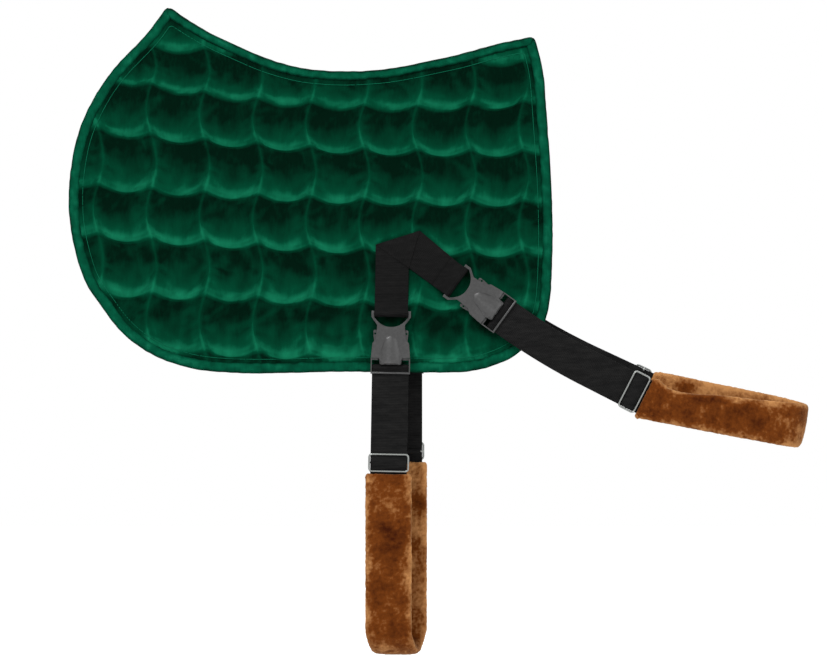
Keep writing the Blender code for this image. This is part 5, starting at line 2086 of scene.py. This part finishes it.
class SaddlePad:
    """The whole object, built from its parts."""

    def __init__(self) -> None:
        """Makes the finishes and lays out the bands."""
        self.velvet = Velvet("quilted_velvet").material()
        self.binding = Velvet("binding_velvet", dark=(0.0003, 0.0130, 0.0065),
                              middle=(0.0012, 0.0790, 0.0385), light=(0.0100, 0.1900, 0.1000),
                              streak=0.22).material()
        self.lining = Lining().material()
        self.webbing = Webbing().material()
        self.strap = Webbing("strap_webbing", dark=(0.0020, 0.0020, 0.0021),
                             light=(0.0085, 0.0083, 0.0082)).material()
        self.plastic = MouldedPlastic().material()
        self.steel = Steel().material()
        self.fleece = Fleece().material()
        self.units = lay_out_units()

    def bend(self, item: Piece, material: Finish, slot: Slot, side: Side) -> Piece:
        """Dresses a soft piece that crosses a flap's fold.

        Args:
            item: The piece, its mesh final.
            material: Its finish.
            slot: Not used.
            side: Side of the horse.

        Returns:
            The piece.
        """
        dress(item, material)
        f"{side.word}_flap"
        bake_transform(item)
        LOG.info("%s: %d faces, spine to %s flap", item.name, len(item.data.polygons), side.word)
        return item

    def build_pad(self) -> None:
        """Velvet, bindings and linings of both sides, and the ridge."""
        quilting, padding, strap = Quilting(), Padding(), VStrap()
        free = free_quilting(quilting)
        for side in Side:
            belly, hind = self.units[f"{side.word}_belly"].run, self.units[f"{side.word}_hind"].run
            word = side.word
            cover = quilting.build(side, free, strap.outline(belly, hind), (belly, hind))
            self.bend(cover, self.velvet, Slot.VELVET, side)
            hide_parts(f"{word}_flap_cover", f"{word}_flap_wadding", f"{word}_spine_panel")
            lining = self.bend(padding.lining(side), self.lining, Slot.LINING, side)
            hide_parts(f"{word}_flap_lining")
            roll = self.bend(padding.roll(side), self.binding, Slot.BINDING, side)
            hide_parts(f"{word}_flap_binding", f"{word}_front_binding", f"{word}_rear_binding")
            self.bend(padding.thread(side), self.binding, Slot.BINDING, side)
            for piece in strap.build(side, belly, hind):
                settle(piece, self.strap, f"{word}_flap")
                smooth(piece, SOFT_EDGE)
                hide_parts(f"{word}_v_strap")
        ridge = settle(padding.ridge(), self.binding, "spine")
        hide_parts("ridge_binding")
        bpy.data.objects.remove(free[0])

    def build_unit(self, unit: Unit) -> None:
        """Webbing, buckle and tri-glide of one unit.

        Args:
            unit: The unit.
        """
        name, buckle, glide, base = unit.name, Buckle(), TriGlide(), unit.glide_frame()
        end = unit.glide_at + unit.mouth_past_glide + WEBBING_IN_FLEECE
        band = BandWebbing().build(f"{name}_band_webbing", unit.run, end)
        settle(band, self.webbing, f"{name}_band")
        smooth(band, SOFT_EDGE)
        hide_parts(f"{name}_webbing")
        for node, body in (("buckle_female", "female"), ("buckle_male", "band"),
                           ("front_prong", "front_prong"), ("rear_prong", "rear_prong")):
            item = buckle.moulded(f"{name}_{node}", unit.run)
            settle(item, self.plastic, f"{name}_{body}")
        dome = buckle.dome(f"{name}_thumb_dome", unit.run)
        settle(dome, self.plastic, f"{name}_female")
        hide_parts(f"{name}_buckle_female")
        for wire in (glide.ring(f"{name}_wire_frame", base), glide.bar(f"{name}_centre_bar", base)):
            settle(wire, self.steel, f"{name}_glide")
            smooth(wire, WIRE_EDGE)
            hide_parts(f"{name}_tri_glide")
        for cloth in (glide.strip(f"{name}_glide_strip", base), glide.loop(f"{name}_sewn_loop", base)):
            settle(cloth, self.webbing, f"{name}_glide")
            smooth(cloth, SOFT_EDGE)
            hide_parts(f"{name}_glide_loop")

    def build_sleeves(self) -> None:
        """The two fleece sleeves, each on the near side of its band."""
        sleeve = FleeceSleeve()
        near, far = self.units["left_belly"], self.units["right_belly"]
        end = near.mouth + np.array([0.0, -BELLY_LEG])
        legs = [sleeve.leg(near.mouth, near.mouth_angle, end, near.mouth_angle),
                sleeve.leg(far.mouth, far.mouth_angle, np.array([far.mouth[0], end[1]]), far.mouth_angle)]
        self.cover(sleeve.build("belly_fleece", *legs, seam_at=BELLY_SEAM_AT), BandName.BELLY)
        near, far = self.units["left_hind"], self.units["right_hind"]
        fold, way = math.radians(HIND_FOLD), math.radians(HIND_WAY)
        end = near.mouth + HIND_LEG * np.array([math.cos(way), -math.sin(way)])
        legs = [sleeve.leg(near.mouth, near.mouth_angle, end, fold),
                sleeve.leg(far.mouth, far.mouth_angle, end + np.array([0.0, HIND_FAR_RISE]), fold)]
        self.cover(sleeve.build("hind_fleece", *legs, dips=HIND_SAGS_MM), BandName.HIND)

    def cover(self, item: Piece, band: BandName) -> None:
        """Dresses a sleeve and lets it stand for its solids.

        Args:
            item: The sleeve's piece.
            band: The band that it belongs to.
        """
        settle(item, self.fleece, f"left_{band.value}_band")
        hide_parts(f"{band.value}_fleece_sleeve", f"{band.value}_inner_webbing")

    def build(self) -> None:
        """Builds every part."""
        self.build_pad()
        for unit in self.units.values():
            self.build_unit(unit)
        self.build_sleeves()


@dataclass
class Studio:
    """White surroundings, soft light and the photograph's camera."""

    middle: tuple[float, float, float] = (0.0913, 0.0, -0.3367)
    distance: float = 4.5
    frame_width: float = 1.1027
    floor_level: float = -0.83
    sensor: float = 36.0
    soft_light: float = 0.40
    lamps: tuple[tuple[str, tuple[float, float, float], float, float], ...] = (
        ("key", (-1.3, -2.3, 2.3), 88.0, 1.2),
        ("fill", (2.4, -2.2, 0.6), 26.0, 2.2),
        ("rim", (0.6, 2.6, 1.6), 30.0, 1.8),
    )

    def lamp(self, name: str, place: tuple[float, float, float], watts: float, size: float) -> None:
        """Adds an area lamp that faces the object.

        Args:
            name: Name of the lamp.
            place: Where it stands.
            watts: Its power.
            size: Its width.
        """
        toward = Vector(self.middle) - Vector(place)
        rotation = toward.to_track_quat("-Z", "Y").to_euler()
        bpy.ops.object.light_add(type="AREA", location=place, rotation=rotation)
        lamp = bpy.context.active_object
        lamp.name = name
        lamp.data.energy = watts
        lamp.data.size = size

    def floor(self) -> None:
        """Adds the floor under the object."""
        deselect_all()
        bpy.ops.mesh.primitive_plane_add(size=8.0, location=(self.middle[0], 0.0, self.floor_level))
        floor = bpy.context.active_object
        floor.name = "floor"
        floor.data.materials.append(PaleFloor().material())

    def world(self) -> None:
        """White to the camera and in mirrors, soft grey light to the rest."""
        world = bpy.context.scene.world or bpy.data.worlds.new("world")
        bpy.context.scene.world = world
        world.use_nodes = True
        nodes, links = world.node_tree.nodes, world.node_tree.links
        background = nodes["Background"]
        background.inputs["Color"].default_value = (1.0, 1.0, 1.0, 1.0)
        path = nodes.new("ShaderNodeLightPath")
        level = nodes.new("ShaderNodeMapRange")
        level.inputs["To Min"].default_value = self.soft_light
        level.inputs["To Max"].default_value = 1.0
        seen = path.outputs["Is Camera Ray"]
        for ray in ("Is Glossy Ray", "Is Transmission Ray"):
            either = nodes.new("ShaderNodeMath")
            either.operation = "MAXIMUM"
            links.new(seen, either.inputs[0])
            links.new(path.outputs[ray], either.inputs[1])
            seen = either.outputs["Value"]
        links.new(seen, level.inputs["Value"])
        links.new(level.outputs["Result"], background.inputs["Strength"])

    def camera(self) -> None:
        """Adds the camera, square on from the near side."""
        bpy.ops.object.camera_add(location=(self.middle[0], -self.distance, self.middle[2]),
                                  rotation=(math.pi / 2, 0.0, 0.0))
        camera = bpy.context.active_object
        camera.data.sensor_width = self.sensor
        camera.data.lens = self.sensor * (self.distance - SEAM_DEPTH) / self.frame_width
        bpy.context.scene.camera = camera

    def build(self) -> None:
        """Sets the whole stage."""
        self.floor()
        for name, place, watts, size in self.lamps:
            self.lamp(name, place, watts, size)
        self.world()
        self.camera()
        bpy.context.scene.view_settings.view_transform = "Standard"


def main() -> None:
    """Builds the pad and sets the stage."""
    logging.basicConfig(level=logging.INFO, format="%(message)s")
    SaddlePad().build()
    Studio().build()


if __name__ == "__main__":
    main()
